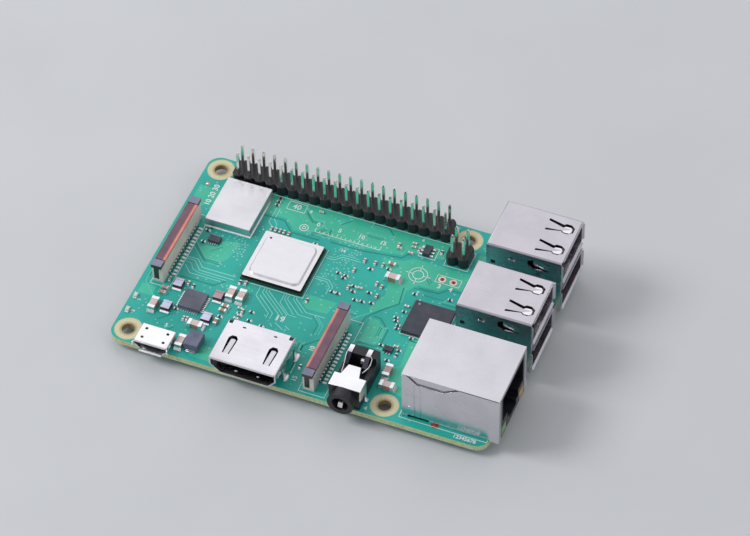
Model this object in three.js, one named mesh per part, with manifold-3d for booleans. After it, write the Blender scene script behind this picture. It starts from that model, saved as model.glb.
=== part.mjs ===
// Credit-card-sized single board computer: a populated circuit board with its connectors, chips and sockets.
// Units are millimetres and +Z is up. X runs along the board's length and Y along its width.
// While it is built, the board's front left corner is at X 0, Y 0, and its top face is at Z 0.
import * as THREE from "three";
import { mergeVertices } from "three/addons/utils/BufferGeometryUtils.js";
import Module from "manifold-3d";

const wasm = await Module();
wasm.setup();

// Shared values
const cutOverrun = 0.5;
const insertGap = 0.05;
const weldDistance = 0.0005;
const fingerCornerShare = 0.25;
const arcSteps = 5;
const roundSides = 20;
const smallRoundSides = 8;

// Circuit board
const boardWidth = 56;
const boardThickness = 1.4;
const boardCornerRadius = 3;
const portZoneLength = 20;
const mountHoleDiameter = 2.75;
const mountHoleInset = 3.5;
const mountRingDiameter = 6.2;
const solderMaskDepth = 0.05;
const tailDrop = 1.6;
const tailClearance = 0.15;
const sparePadHoleDiameter = 1;
const sparePadShares = [0.7076, 0.7143];

// Pin headers
const pinPitch = 2.54;
const pinThickness = 0.64;
const pinTipThickness = 0.3;
const pinTipLength = 0.5;
const pinTopHeight = 8.5;
const headerBaseHeight = 2.54;
const headerBeadNotch = 0.45;
const headerColumns = 20;
const headerRows = 2;
const headerEndGap = 3.6;
const smallHeaderColumns = 2;
const smallHeaderBehindGap = 0.62;
const smallHeaderShare = 0.7247;

// Processor
const processorWidth = 14.1;
const processorSubstrateHeight = 0.5;
const processorLidMargin = 0.3;
const processorFlangeHeight = 0.75;
const processorLidHeight = 0.4;
const processorPlateauWidth = 11.7;
const processorPlateauCorner = 1.3;
const processorPlateauBevel = 0.25;
const processorDotDiameter = 0.5;
const processorDotInset = 1.05;
const processorShares = [0.3171, 0.5679];

// Wireless module under its shield
const shieldWidth = 10.4;
const shieldDepth = 12.9;
const shieldHeight = 2.2;
const shieldSheet = 0.2;
const shieldDimpleDiameter = 0.7;
const shieldDimpleDepth = 0.08;
const shieldDimpleInset = 1.1;
const shieldDimpleShares = [-0.3, -0.1, 0.1, 0.3];
const shieldShare = 0.1412;
const shieldBehindGap = 0.7;
const wirelessChipWidth = 5.2;
const wirelessChipHeight = 0.7;
const wirelessCrystalWidth = 2.5;
const wirelessCrystalDepth = 2;
const wirelessCrystalHeight = 0.6;
const wirelessCrystalGap = 1;

// Flat chips
const chipDotDiameter = 0.45;
const chipDotDepth = 0.06;
const chipDotInset = 0.75;
const hubChipWidth = 9;
const hubChipHeight = 0.9;
const hubChipShares = [0.7271, 0.492];
const powerChipWidth = 5;
const powerChipHeight = 0.9;
const powerChipShares = [0.1565, 0.27];
const clockChipWidth = 2.6;
const clockChipDepth = 1.7;
const clockChipHeight = 0.75;
const clockChipShieldGap = 3.45;
const clockChipShare = 0.1243;
const switchChipWidth = 1.6;
const switchChipDepth = 2.6;
const switchChipHeight = 1;
const switchChipShares = [0.6406, 0.8232];
const filterChipWidth = 2;
const filterChipDepth = 1.3;
const filterChipHeight = 0.8;
const filterChipShares = [0.6673, 0.3135];
const memoryChipWidth = 11.5;
const memoryChipHeight = 0.9;

// Chip capacitors, coils and indicator lights
const endCapShare = 0.24;
const endCapProud = 0.06;
const capacitorLength = 3.2;
const capacitorWidth = 1.6;
const capacitorHeight = 1.4;
const capacitorPlaceShares = [
  ["capacitor_a", 0.0694, 0.2, true],
  ["capacitor_b", 0.1935, 0.161, false],
  ["capacitor_c", 0.2365, 0.352, true],
  ["capacitor_d", 0.2641, 0.352, true],
  ["capacitor_e", 0.5929, 0.6455, false],
  ["capacitor_f", 0.6933, 0.209, true],
  ["capacitor_g", 0.7084, 0.1431, false],
];
const coilWidth = 2;
const coilDepth = 2.2;
const coilHeight = 1.15;
const coilPlaceShares = [
  ["coil_a", 0.1006, 0.3286],
  ["coil_b", 0.1018, 0.2089],
  ["coil_c", 0.2106, 0.2089],
  ["coil_d", 0.2106, 0.325],
];
const lightLength = 1.6;
const lightWidth = 0.8;
const lightBaseHeight = 0.25;
const lightLensHeight = 0.4;
const lightLensInset = 0.25;
const lightPlaceShares = [
  ["power_light", 0.0145, 0.2205],
  ["activity_light", 0.0145, 0.146],
];

// Surge absorber and capacitor beside the power socket
const surgeWidth = 3.2;
const surgeDepth = 4;
const surgeHeight = 2.1;
const surgeFootLength = 0.5;
const surgeFootWidth = 2;
const surgeFootHeight = 0.3;
const besideGap = 0.35;
const surgeFrontInset = 2.4;
const inputCapacitorInset = 2;

// Power socket, a small USB receptacle at the front edge
const powerShare = 0.1247;
const powerWidth = 7.5;
const powerBaseWidth = 5.6;
const powerDepth = 4.9;
const powerOverhang = 0.7;
const powerHeight = 2.6;
const powerShoulderHeight = 1.25;
const powerRise = 0.15;
const powerSheet = 0.25;
const powerLipLength = 0.6;
const powerLipFlare = 0.35;
const powerWindowSize = 0.6;
const powerWindowShareX = 0.32;
const powerWindowShareY = 0.25;
const powerTongueWidth = 4.6;
const powerTongueThickness = 0.6;
const powerTongueSetback = 0.9;
const powerBlockDepth = 1.1;
const powerTabWidth = 0.3;
const powerTabDepth = 1.1;
const powerTabDrop = 1.1;

// Video port at the front edge
const videoShare = 0.3765;
const videoWidth = 15;
const videoBaseWidth = 11;
const videoDepth = 11.1;
const videoOverhang = 1.8;
const videoHeight = 5.9;
const videoShoulderHeight = 3.6;
const videoRise = 0.65;
const videoSheet = 0.35;
const videoLipFlare = 0.25;
const videoLipLength = 0.5;
const videoFloorSetback = 0.6;
const videoFingerLength = 4.6;
const videoFingerWidth = 1.1;
const videoFingerHeadLength = 1.2;
const videoFingerSlot = 0.45;
const videoFingerSetback = 1.9;
const videoFingerDip = 0.5;
const videoFingerShare = 0.304;
const videoDimpleSize = 0.7;
const videoDimpleSetback = 1.4;
const videoDimpleShare = 0.235;
const videoRearNotchWidth = 1.5;
const videoRearNotchDepth = 1.2;
const videoBlockDepth = 3.2;
const videoTongueWidth = 11.2;
const videoTongueThickness = 1.2;
const videoTongueSetback = 2.2;
const videoLeadCount = 19;
const videoLeadPitch = 0.5;
const videoLeadWidth = 0.24;
const videoLeadLength = 0.9;
const videoFootMargin = 0.7;
const videoLeadHeight = 0.2;
const videoTabDepth = 1.4;
const videoTabShares = [0.43, 0.955];

// Ribbon connectors for the display and the camera
const displayRibbonShares = [0.0471, 0.4977];
const cameraRibbonShares = [0.5335, 0.2063];
const ribbonLength = 20.1;
const ribbonWidth = 2.5;
const ribbonHeight = 5;
const ribbonFloor = 0.8;
const ribbonContactWall = 0.85;
const ribbonBackWall = 0.25;
const ribbonEndWall = 1.4;
const ribbonEndDrop = 0.3;
const ribbonContactCount = 15;
const ribbonContactPitch = 1;
const ribbonContactWidth = 0.4;
const ribbonCombDepth = 0.3;
const ribbonCombHeight = 1.2;
const ribbonLeadHeight = 0.9;
const ribbonLeadThickness = 0.25;
const ribbonLeadReach = 1.15;
const ribbonLeadShoulder = 0.35;
const ribbonLeadFlat = 0.45;
const latchClearance = 0.08;
const latchStemHeight = 1.3;
const latchCapHeight = 0.6;
const latchCapInset = 0.2;
const latchHeadOverhang = 0.6;
const latchHeadLength = 1.9;
const latchHeadWidth = 2.3;
const latchHeadGroove = 0.2;
const latchLegWidth = 1;
const latchLegDepth = 0.9;

// Audio jack at the front edge
const audioShare = 0.6324;
const audioFrontInset = 0.45;
const audioWidth = 6.8;
const audioDepth = 11.9;
const audioHeight = 5.5;
const audioBaseHeight = 1;
const audioFrontBlockDepth = 3.4;
const audioRearBlockDepth = 2.3;
const audioFlankWall = 1;
const audioFlankDrop = 1.6;
const audioBarrelDiameter = 5.8;
const audioBarrelLength = 2.35;
const audioBoreDiameter = 3.6;
const audioAxisHeight = 2.95;
const audioPlateSheet = 0.25;
const audioPlateTongueLength = 2.8;
const audioPlateTongueShares = [0.6, 0.4];
const audioPlateTabDepth = 1;
const audioPlateFootReach = 0.7;
const audioLeafWidth = 1.05;
const audioLeftLeafShare = -0.75;
const audioRightLeafShare = 0.45;
const audioLeafSheet = 0.25;
const audioLeafTop = 2.4;
const audioLeafDip = 1.5;
const audioLeafReach = 2.3;
const audioLeafInset = 0.35;
const audioPegDiameter = 1;
const audioPegShares = [0.25, 0.8];

// Network jack at the right edge
const networkShare = 0.183;
const networkWidth = 15.9;
const networkDepth = 21.3;
const networkHeight = 13.4;
const networkOverhang = 2.1;
const networkSheet = 0.25;
const networkFaceMarginFlank = 1.2;
const networkFaceMarginTop = 0.9;
const networkFaceMarginBottom = 0.5;
const networkCavityWidth = 11.9;
const networkCavityTop = 12;
const networkCavityBottom = 5;
const networkCavityDepth = 13.5;
const networkLatchWidth = 6.4;
const networkLatchBottom = 3.2;
const networkLatchTipWidth = 4;
const networkLatchTipBottom = 1.9;
const networkContactCount = 8;
const networkContactPitch = 1.02;
const networkContactWidth = 0.45;
const networkContactThickness = 0.35;
const networkContactDrop = 2;
const networkContactSetback = 1.2;
const networkContactLength = 9;
const networkLightWidth = 2.6;
const networkLightHeight = 2.3;
const networkLightDepth = 6;
const networkLightInset = 0.3;
const networkLightRise = 0.9;
const networkLightClearance = 0.1;
const networkSeamShares = [0.866, 0.804];
const networkSeamWidth = 0.3;
const networkSeamDepth = 0.1;
const networkNotchLengthShares = [0.953, 0.84, 0.568, 0.408];
const networkNotchHeight = 2.2;
const networkFootGapShares = [0.94, 0.72];
const networkFootGapHeight = 0.9;
const networkTailShares = [0.62, 0.74, 0.86];
const networkTailColumns = 4;
const networkTailPitch = 2.54;
const networkTailWidth = 0.5;
const networkTabDepth = 1.5;
const networkTabShare = 0.66;
const networkPegDiameter = 3;
const networkPegShare = 0.42;
const networkPegSpread = 5.7;

// USB stacks, two ports one above the other, at the right edge
const rearUsbShare = 0.8393;
const frontUsbShare = 0.5179;
const usbWidth = 13.1;
const usbDepth = 16.65;
const usbHeight = 15.1;
const usbOverhang = 1.5;
const usbSheet = 0.3;
const usbFloorRise = 0.5;
const usbPortHeight = 5.7;
const usbPortDepth = 11;
const usbLipLength = 0.45;
const usbLipFlare = 0.35;
const usbLipCornerGap = 0.5;
const usbFingerLength = 5.4;
const usbFingerRootWidth = 2.9;
const usbFingerNeckWidth = 0.9;
const usbFingerHeadWidth = 1.7;
const usbFingerHeadLength = 2;
const usbFingerSlot = 0.5;
const usbFingerTipSetback = 1.2;
const usbFingerDip = 0.55;
const usbFingerSpread = 3.1;
const usbFlankFingerLength = 4.4;
const usbFlankFingerWidth = 1.6;
const usbFlankFingerSetback = 2.6;
const usbFlankHeadLength = 1.2;
const usbWindowSize = 1;
const usbWindowSetback = 1;
const usbWindowHeightShare = 0.655;
const usbTongueWidth = 11.1;
const usbTongueThickness = 1.84;
const usbTongueTopGap = 0.75;
const usbTongueSetback = 1.6;
const usbContactPitchShares = [-0.315, -0.09, 0.09, 0.315];
const usbContactWidth = 1;
const usbContactProud = 0.25;
const usbInsertGap = 0.1;
const usbTailWidth = 0.6;
const usbTailRowShares = [0.76, 0.92];
const usbTabDepth = 1.6;
const usbTabShares = [0.3, 0.84];

// Memory card socket under the left edge
const cardShare = 0.5;
const cardMouthInset = 1.2;
const cardWidth = 12;
const cardDepth = 14.2;
const cardHeight = 1.45;
const cardSheet = 0.2;
const cardTrayThickness = 0.35;
const cardTrayGap = 0.1;
const cardContactCount = 8;
const cardContactPitch = 1.1;
const cardContactWidth = 0.6;
const cardContactLength = 2.4;
const cardContactRise = 0.2;
const cardContactSetback = 4.5;
const cardMouthChamfer = 1.2;
const cardDetentLength = 2.2;
const cardDetentWidth = 0.9;
const cardDetentShares = [0.3, 0.62];

// Places worked out from the sizes above
const mountHoleSpan = headerColumns * pinPitch + 2 * headerEndGap;
const boardLength = mountHoleSpan + 2 * mountHoleInset + portZoneLength;
const boardBottom = -boardThickness;
const headerX = mountHoleInset + mountHoleSpan / 2;
const headerY = boardWidth - mountHoleInset;
const headerFrontY = headerY - pinPitch;
const smallHeaderX = smallHeaderShare * boardLength;
const smallHeaderY = headerFrontY - smallHeaderBehindGap - pinPitch;
const processorX = processorShares[0] * boardLength;
const processorY = processorShares[1] * boardWidth;
const shieldX = shieldShare * boardLength;
const shieldY = headerFrontY - shieldBehindGap - shieldDepth / 2;
const powerX = powerShare * boardLength;
const videoX = videoShare * boardLength;
const audioX = audioShare * boardLength;
const networkX = boardLength + networkOverhang;
const networkY = networkShare * boardWidth;
const usbX = boardLength + usbOverhang;
const cardY = cardShare * boardWidth;

// Colours
const maskGreen = 0x1f9d78;
const moulding = 0x1c1b20;
const chipBlack = 0x2b2833;
const tinned = 0xd9d8dd;
const beige = 0xc9bfb0;
const latchBrown = 0x5a3a44;
const ceramic = 0xb98a7c;
const ferrite = 0x8f8ca3;
const lensGreen = 0x6fbf4a;
const lensAmber = 0xe0b040;

// Turns a closed three.js geometry into a solid that can be joined and cut.
function solid(geometry) {
  geometry.deleteAttribute("normal");
  geometry.deleteAttribute("uv");
  const merged = mergeVertices(geometry, weldDistance);
  const index = merged.index.array;
  const corners = [];
  for (let i = 0; i < index.length; i += 3) {
    const [a, b, c] = index.slice(i, i + 3);
    if (a !== b && b !== c && c !== a) corners.push(a, b, c);
  }
  const vertProperties = new Float32Array(merged.attributes.position.array);
  const triVerts = new Uint32Array(corners);
  return new wasm.Manifold(new wasm.Mesh({ numProp: 3, vertProperties, triVerts }));
}

function join(...parts) {
  return parts.flat().reduce((whole, part) => whole.add(part));
}

function cut(body, ...tools) {
  return tools.flat().reduce((rest, tool) => rest.subtract(tool), body);
}

// A named mesh with its own material.
function piece(name, body, color, roughness, metalness) {
  const mesh = body.getMesh();
  const geometry = new THREE.BufferGeometry();
  geometry.setAttribute("position", new THREE.BufferAttribute(new Float32Array(mesh.vertProperties), 3));
  geometry.setIndex(new THREE.BufferAttribute(new Uint32Array(mesh.triVerts), 1));
  const faceted = geometry.toNonIndexed();
  faceted.computeVertexNormals();
  const made = new THREE.Mesh(faceted, new THREE.MeshStandardMaterial({ color, roughness, metalness }));
  made.name = name;
  return made;
}

function block(x0, x1, y0, y1, z0, z1) {
  const geometry = new THREE.BoxGeometry(x1 - x0, y1 - y0, z1 - z0);
  return solid(geometry.translate((x0 + x1) / 2, (y0 + y1) / 2, (z0 + z1) / 2));
}

// A block given by the middle of its base and its size.
function slab(x, y, z, width, depth, height) {
  return block(x - width / 2, x + width / 2, y - depth / 2, y + depth / 2, z, z + height);
}

function shapeOf(points) {
  if (points instanceof THREE.Shape) return points;
  return new THREE.Shape(points.map(([u, v]) => new THREE.Vector2(u, v)));
}

function extruded(points, length, frame) {
  const settings = { depth: length, bevelEnabled: false, curveSegments: arcSteps };
  return new THREE.ExtrudeGeometry(shapeOf(points), settings).applyMatrix4(frame);
}

const axisX = new THREE.Vector3(1, 0, 0);
const axisY = new THREE.Vector3(0, 1, 0);
const axisZ = new THREE.Vector3(0, 0, 1);

// An outline in Y and Z, drawn out along X.
function alongX(points, x0, x1) {
  const frame = new THREE.Matrix4().makeBasis(axisY, axisZ, axisX).setPosition(x0, 0, 0);
  return solid(extruded(points, x1 - x0, frame));
}

// An outline in X and Z, drawn out along Y.
function alongY(points, y0, y1) {
  const frame = new THREE.Matrix4().makeBasis(axisX, axisZ, axisY.clone().negate()).setPosition(0, y1, 0);
  return solid(extruded(points, y1 - y0, frame));
}

// An outline in X and Y, drawn up along Z.
function alongZ(points, z0, z1) {
  return solid(extruded(points, z1 - z0, new THREE.Matrix4().setPosition(0, 0, z0)));
}

function rod(x, y, diameter, z0, z1, sides) {
  const geometry = new THREE.CylinderGeometry(diameter / 2, diameter / 2, z1 - z0, sides);
  return solid(geometry.rotateX(Math.PI / 2).translate(x, y, (z0 + z1) / 2));
}

function rodAlongY(x, z, diameter, y0, y1, sides) {
  const geometry = new THREE.CylinderGeometry(diameter / 2, diameter / 2, y1 - y0, sides);
  return solid(geometry.rotateY(Math.PI / sides).translate(x, (y0 + y1) / 2, z));
}

function roundedRectangle(width, depth, radius, x = 0, y = 0) {
  const right = x + width / 2 - radius;
  const left = x - width / 2 + radius;
  const rear = y + depth / 2 - radius;
  const front = y - depth / 2 + radius;
  const shape = new THREE.Shape();
  shape.absarc(right, rear, radius, 0, Math.PI / 2);
  shape.absarc(left, rear, radius, Math.PI / 2, Math.PI);
  shape.absarc(left, front, radius, Math.PI, Math.PI * 1.5);
  shape.absarc(right, front, radius, Math.PI * 1.5, Math.PI * 2);
  return shape;
}

// A footprint lists soldered tails as x, y, width and depth from the middle of their part.
function tails(footprint, top) {
  return footprint.map(([x, y, width, depth]) =>
    slab(x, y, boardBottom - tailDrop, width, depth, top - boardBottom + tailDrop),
  );
}

function tailHoles(footprint, placeX, placeY) {
  const grow = 2 * tailClearance;
  const height = boardThickness + 2 * cutOverrun;
  return footprint.map(([x, y, width, depth]) =>
    slab(placeX + x, placeY + y, boardBottom - cutOverrun, width + grow, depth + grow, height),
  );
}

// Half of a finger's outline, from its root to its rounded head, grown by the width of the slot round it.
function fingerEdge(start, { length, rootWidth, neckWidth, headWidth, headLength }, rootGrow, grow) {
  const corner = fingerCornerShare * headWidth;
  const neck = length - headLength;
  return [
    [start, rootWidth / 2 + rootGrow],
    [neck, neckWidth / 2 + grow],
    [neck + corner, headWidth / 2 + grow],
    [length - corner, headWidth / 2 + grow],
    [length + grow, headWidth / 2 - corner + grow / 2],
  ];
}

// A sprung finger punched out of a sheet, narrower at its neck than at its head. Its tip is pushed in by dip.
// Its frame's X runs from root to tip and its Z points out of the sheet.
function sprungFinger(frame, sheet, shape) {
  const { length, slot, dip } = shape;
  const wholeOutline = (edge) => [...edge, ...edge.toReversed().map(([u, v]) => [u, -v])];
  const hole = wholeOutline(fingerEdge(0, shape, slot / 2, slot));
  const leaf = wholeOutline(fingerEdge(-sheet, shape, 0, 0));
  const down = new THREE.Matrix4().setPosition(0, 0, -sheet - cutOverrun);
  const level = new THREE.Matrix4().setPosition(0, 0, -sheet);
  const slope = -dip / (length + sheet);
  const bend = new THREE.Matrix4().makeShear(0, slope, 0, 0, 0, 0).setPosition(0, 0, slope * sheet);
  return {
    hole: solid(extruded(hole, sheet + 2 * cutOverrun, down).applyMatrix4(frame)),
    leaf: solid(extruded(leaf, sheet, level).applyMatrix4(bend).applyMatrix4(frame)),
  };
}

function fingerFrame(towards, out, x, y, z) {
  const across = new THREE.Vector3().crossVectors(out, towards);
  return new THREE.Matrix4().makeBasis(towards, across, out).setPosition(x, y, z);
}

function withFingers(body, fingers) {
  const open = cut(body, fingers.map((finger) => finger.hole));
  return join(open, fingers.map((finger) => finger.leaf));
}

function grid(columns, rows, pitch, width, depth) {
  const places = [];
  for (let column = 0; column < columns; column += 1) {
    for (let row = 0; row < rows; row += 1) {
      const x = (column - (columns - 1) / 2) * pitch;
      const y = (row - (rows - 1) / 2) * pitch;
      places.push([x, y, width, depth]);
    }
  }
  return places;
}

const headerFootprint = grid(headerColumns, headerRows, pinPitch, pinThickness, pinThickness);
const smallHeaderFootprint = grid(smallHeaderColumns, headerRows, pinPitch, pinThickness, pinThickness);

// A square pin with tapered tips, from its tail under the board to its top.
function headerPin(x, y) {
  const bottom = boardBottom - tailDrop;
  const corner = Math.SQRT1_2;
  const profile = [
    [0, bottom],
    [pinTipThickness * corner, bottom],
    [pinThickness * corner, bottom + pinTipLength],
    [pinThickness * corner, pinTopHeight - pinTipLength],
    [pinTipThickness * corner, pinTopHeight],
    [0, pinTopHeight],
  ];
  const lathe = new THREE.LatheGeometry(profile.map(([r, z]) => new THREE.Vector2(r, z)), 4);
  return solid(lathe.rotateY(Math.PI / 4).rotateX(Math.PI / 2).translate(x, y, 0));
}

// The base is a row of beads, so its two long sides are notched between the columns.
function headerBase(columns) {
  const left = (-columns / 2) * pinPitch;
  const points = [];
  for (const side of [-1, 1]) {
    for (let step = 0; step < columns; step += 1) {
      const start = side < 0 ? left + step * pinPitch : -left - step * pinPitch;
      points.push([start, side * (pinPitch - headerBeadNotch)]);
      points.push([start - side * headerBeadNotch, side * pinPitch]);
      points.push([start - side * (pinPitch - headerBeadNotch), side * pinPitch]);
    }
    points.push([side < 0 ? -left : left, side * (pinPitch - headerBeadNotch)]);
  }
  return alongZ(points, 0, headerBaseHeight);
}

function pinHeader(name, columns, footprint, x, y) {
  const body = join(headerBase(columns), footprint.map(([pinX, pinY]) => headerPin(pinX, pinY)));
  const mesh = piece(name, body, moulding, 0.55, 0.1);
  mesh.position.set(x, y, 0);
  return mesh;
}

function processor() {
  const group = new THREE.Group();
  group.position.set(processorX, processorY, 0);
  const lidWidth = processorWidth - 2 * processorLidMargin;
  const flangeTop = processorSubstrateHeight + processorFlangeHeight;
  const lidTop = flangeTop + processorLidHeight;
  const substrate = slab(0, 0, 0, processorWidth, processorWidth, processorSubstrateHeight);
  const flange = alongZ(
    roundedRectangle(lidWidth, lidWidth, processorLidMargin),
    processorSubstrateHeight,
    flangeTop,
  );
  const shape = roundedRectangle(
    processorPlateauWidth - 2 * processorPlateauBevel,
    processorPlateauWidth - 2 * processorPlateauBevel,
    processorPlateauCorner,
  );
  const bevelled = new THREE.ExtrudeGeometry(shape, {
    depth: processorLidHeight - processorPlateauBevel,
    bevelThickness: processorPlateauBevel,
    bevelSize: processorPlateauBevel,
    bevelSegments: 1,
    curveSegments: arcSteps,
  });
  const plateau = solid(bevelled.translate(0, 0, flangeTop));
  const dotPlace = processorPlateauWidth / 2 - processorDotInset;
  const dotBottom = lidTop - chipDotDepth;
  const dot = rod(-dotPlace, dotPlace, processorDotDiameter, dotBottom, lidTop + cutOverrun, smallRoundSides);
  group.add(
    piece("processor_substrate", substrate, maskGreen, 0.5, 0),
    piece("processor_heat_spreader", cut(join(flange, plateau), dot), tinned, 0.3, 0.9),
  );
  return group;
}

function wirelessModule() {
  const group = new THREE.Group();
  group.position.set(shieldX, shieldY, 0);
  const halfWidth = shieldWidth / 2;
  const halfDepth = shieldDepth / 2;
  const innerWidth = halfWidth - shieldSheet;
  const innerDepth = halfDepth - shieldSheet;
  const dimples = shieldDimpleShares.map((share) =>
    rod(
      share * shieldWidth,
      halfDepth - shieldDimpleInset,
      shieldDimpleDiameter,
      shieldHeight - shieldDimpleDepth,
      shieldHeight + cutOverrun,
      smallRoundSides,
    ),
  );
  const can = cut(
    block(-halfWidth, halfWidth, -halfDepth, halfDepth, 0, shieldHeight),
    block(-innerWidth, innerWidth, -innerDepth, innerDepth, -cutOverrun, shieldHeight - shieldSheet),
    dimples,
  );
  const radio = slab(0, -wirelessCrystalGap, 0, wirelessChipWidth, wirelessChipWidth, wirelessChipHeight);
  const crystalY = wirelessChipWidth / 2 + wirelessCrystalGap;
  const crystal = slab(0, crystalY, 0, wirelessCrystalWidth, wirelessCrystalDepth, wirelessCrystalHeight);
  group.add(
    piece("wireless_shield", can, tinned, 0.35, 0.9),
    piece("wireless_chip", radio, chipBlack, 0.4, 0),
    piece("wireless_crystal", crystal, tinned, 0.4, 0.8),
  );
  return group;
}

// A moulded chip with the dimple that marks its first lead.
function chip(name, x, y, width, depth, height, base = 0) {
  const top = base + height;
  const dotX = -width / 2 + chipDotInset;
  const dotY = depth / 2 - chipDotInset;
  const dimple = rod(dotX, dotY, chipDotDiameter, top - chipDotDepth, top + cutOverrun, smallRoundSides);
  const mesh = piece(name, cut(slab(0, 0, base, width, depth, height), dimple), chipBlack, 0.45, 0);
  mesh.position.set(x, y, 0);
  return mesh;
}

function chips() {
  const group = new THREE.Group();
  const clockY = shieldY - shieldDepth / 2 - clockChipShieldGap;
  const placed = [
    ["network_hub_chip", hubChipShares, hubChipWidth, hubChipWidth, hubChipHeight],
    ["power_chip", powerChipShares, powerChipWidth, powerChipWidth, powerChipHeight],
    ["switch_chip", switchChipShares, switchChipWidth, switchChipDepth, switchChipHeight],
    ["filter_chip", filterChipShares, filterChipWidth, filterChipDepth, filterChipHeight],
  ];
  for (const [name, [shareX, shareY], width, depth, height] of placed) {
    group.add(chip(name, shareX * boardLength, shareY * boardWidth, width, depth, height));
  }
  const clockX = clockChipShare * boardLength;
  const memoryBase = boardBottom - memoryChipHeight;
  const memorySize = [memoryChipWidth, memoryChipWidth, memoryChipHeight];
  group.add(
    chip("clock_crystal", clockX, clockY, clockChipWidth, clockChipDepth, clockChipHeight),
    chip("memory_chip", processorX, processorY, ...memorySize, memoryBase),
  );
  return group;
}

// A ceramic block between two metal end caps that stand slightly proud. Turned pieces lie along Y.
function endCapped(name, x, y, length, width, height, turned, color) {
  const cap = endCapShare * length;
  const body = slab(0, 0, 0, length - cap, width - 2 * endCapProud, height - endCapProud);
  const ends = [-1, 1].map((side) => slab((side * (length - cap)) / 2, 0, 0, cap, width, height));
  const mesh = piece(name, join(body, ends), color, 0.45, 0.1);
  mesh.position.set(x, y, 0);
  mesh.rotation.z = turned ? Math.PI / 2 : 0;
  return mesh;
}

function capacitors() {
  const group = new THREE.Group();
  for (const [name, shareX, shareY, turned] of capacitorPlaceShares) {
    const x = shareX * boardLength;
    const y = shareY * boardWidth;
    group.add(endCapped(name, x, y, capacitorLength, capacitorWidth, capacitorHeight, turned, ceramic));
  }
  for (const [name, shareX, shareY] of coilPlaceShares) {
    const x = shareX * boardLength;
    const y = shareY * boardWidth;
    group.add(endCapped(name, x, y, coilDepth, coilWidth, coilHeight, true, ferrite));
  }
  return group;
}

function indicatorLights() {
  const group = new THREE.Group();
  for (const [name, shareX, shareY] of lightPlaceShares) {
    const base = slab(0, 0, 0, lightWidth, lightLength, lightBaseHeight);
    const lens = slab(0, 0, lightBaseHeight, lightWidth, lightLength - 2 * lightLensInset, lightLensHeight);
    const mesh = piece(name, join(base, lens), tinned, 0.3, 0);
    mesh.position.set(shareX * boardLength, shareY * boardWidth, 0);
    group.add(mesh);
  }
  return group;
}

// The surge absorber and its capacitor stand side by side, just right of the power socket.
function powerInputParts() {
  const group = new THREE.Group();
  const capacitorX = powerX + powerWidth / 2 + besideGap + capacitorWidth / 2;
  const surgeX = capacitorX + capacitorWidth / 2 + besideGap + surgeWidth / 2;
  const y = surgeFrontInset + surgeDepth / 2;
  const body = slab(0, 0, 0, surgeWidth, surgeDepth, surgeHeight);
  const reach = surgeDepth + 2 * surgeFootLength;
  const feet = slab(0, 0, 0, surgeFootWidth, reach, surgeFootHeight);
  const surge = piece("surge_absorber", join(body, feet), chipBlack, 0.5, 0);
  surge.position.set(surgeX, y, 0);
  const capacitorY = inputCapacitorInset + capacitorLength / 2;
  const capacitorSize = [capacitorLength, capacitorWidth, capacitorHeight];
  group.add(surge, endCapped("input_capacitor", capacitorX, capacitorY, ...capacitorSize, true, ceramic));
  return group;
}

// The outline of a receptacle that narrows towards its base, shrunk by an inset on every side.
function receptacleOutline(width, baseWidth, height, shoulder, rise, inset) {
  const half = width / 2 - inset;
  const base = baseWidth / 2 - inset / 2;
  return [
    [-half, height - inset],
    [-half, shoulder],
    [-base, rise + inset],
    [base, rise + inset],
    [half, shoulder],
    [half, height - inset],
  ];
}

// The profile of a flared lip at a mouth: it starts inside the sheet, then leans aside by its flare.
// The first number of each point runs into the socket, and the second runs across the sheet.
function lipProfile(near, far, sheet, length, flare) {
  return [
    [sheet, near],
    [sheet, far],
    [0, far],
    [-length, far + flare],
    [-length, near + flare],
    [0, near],
  ];
}

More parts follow.
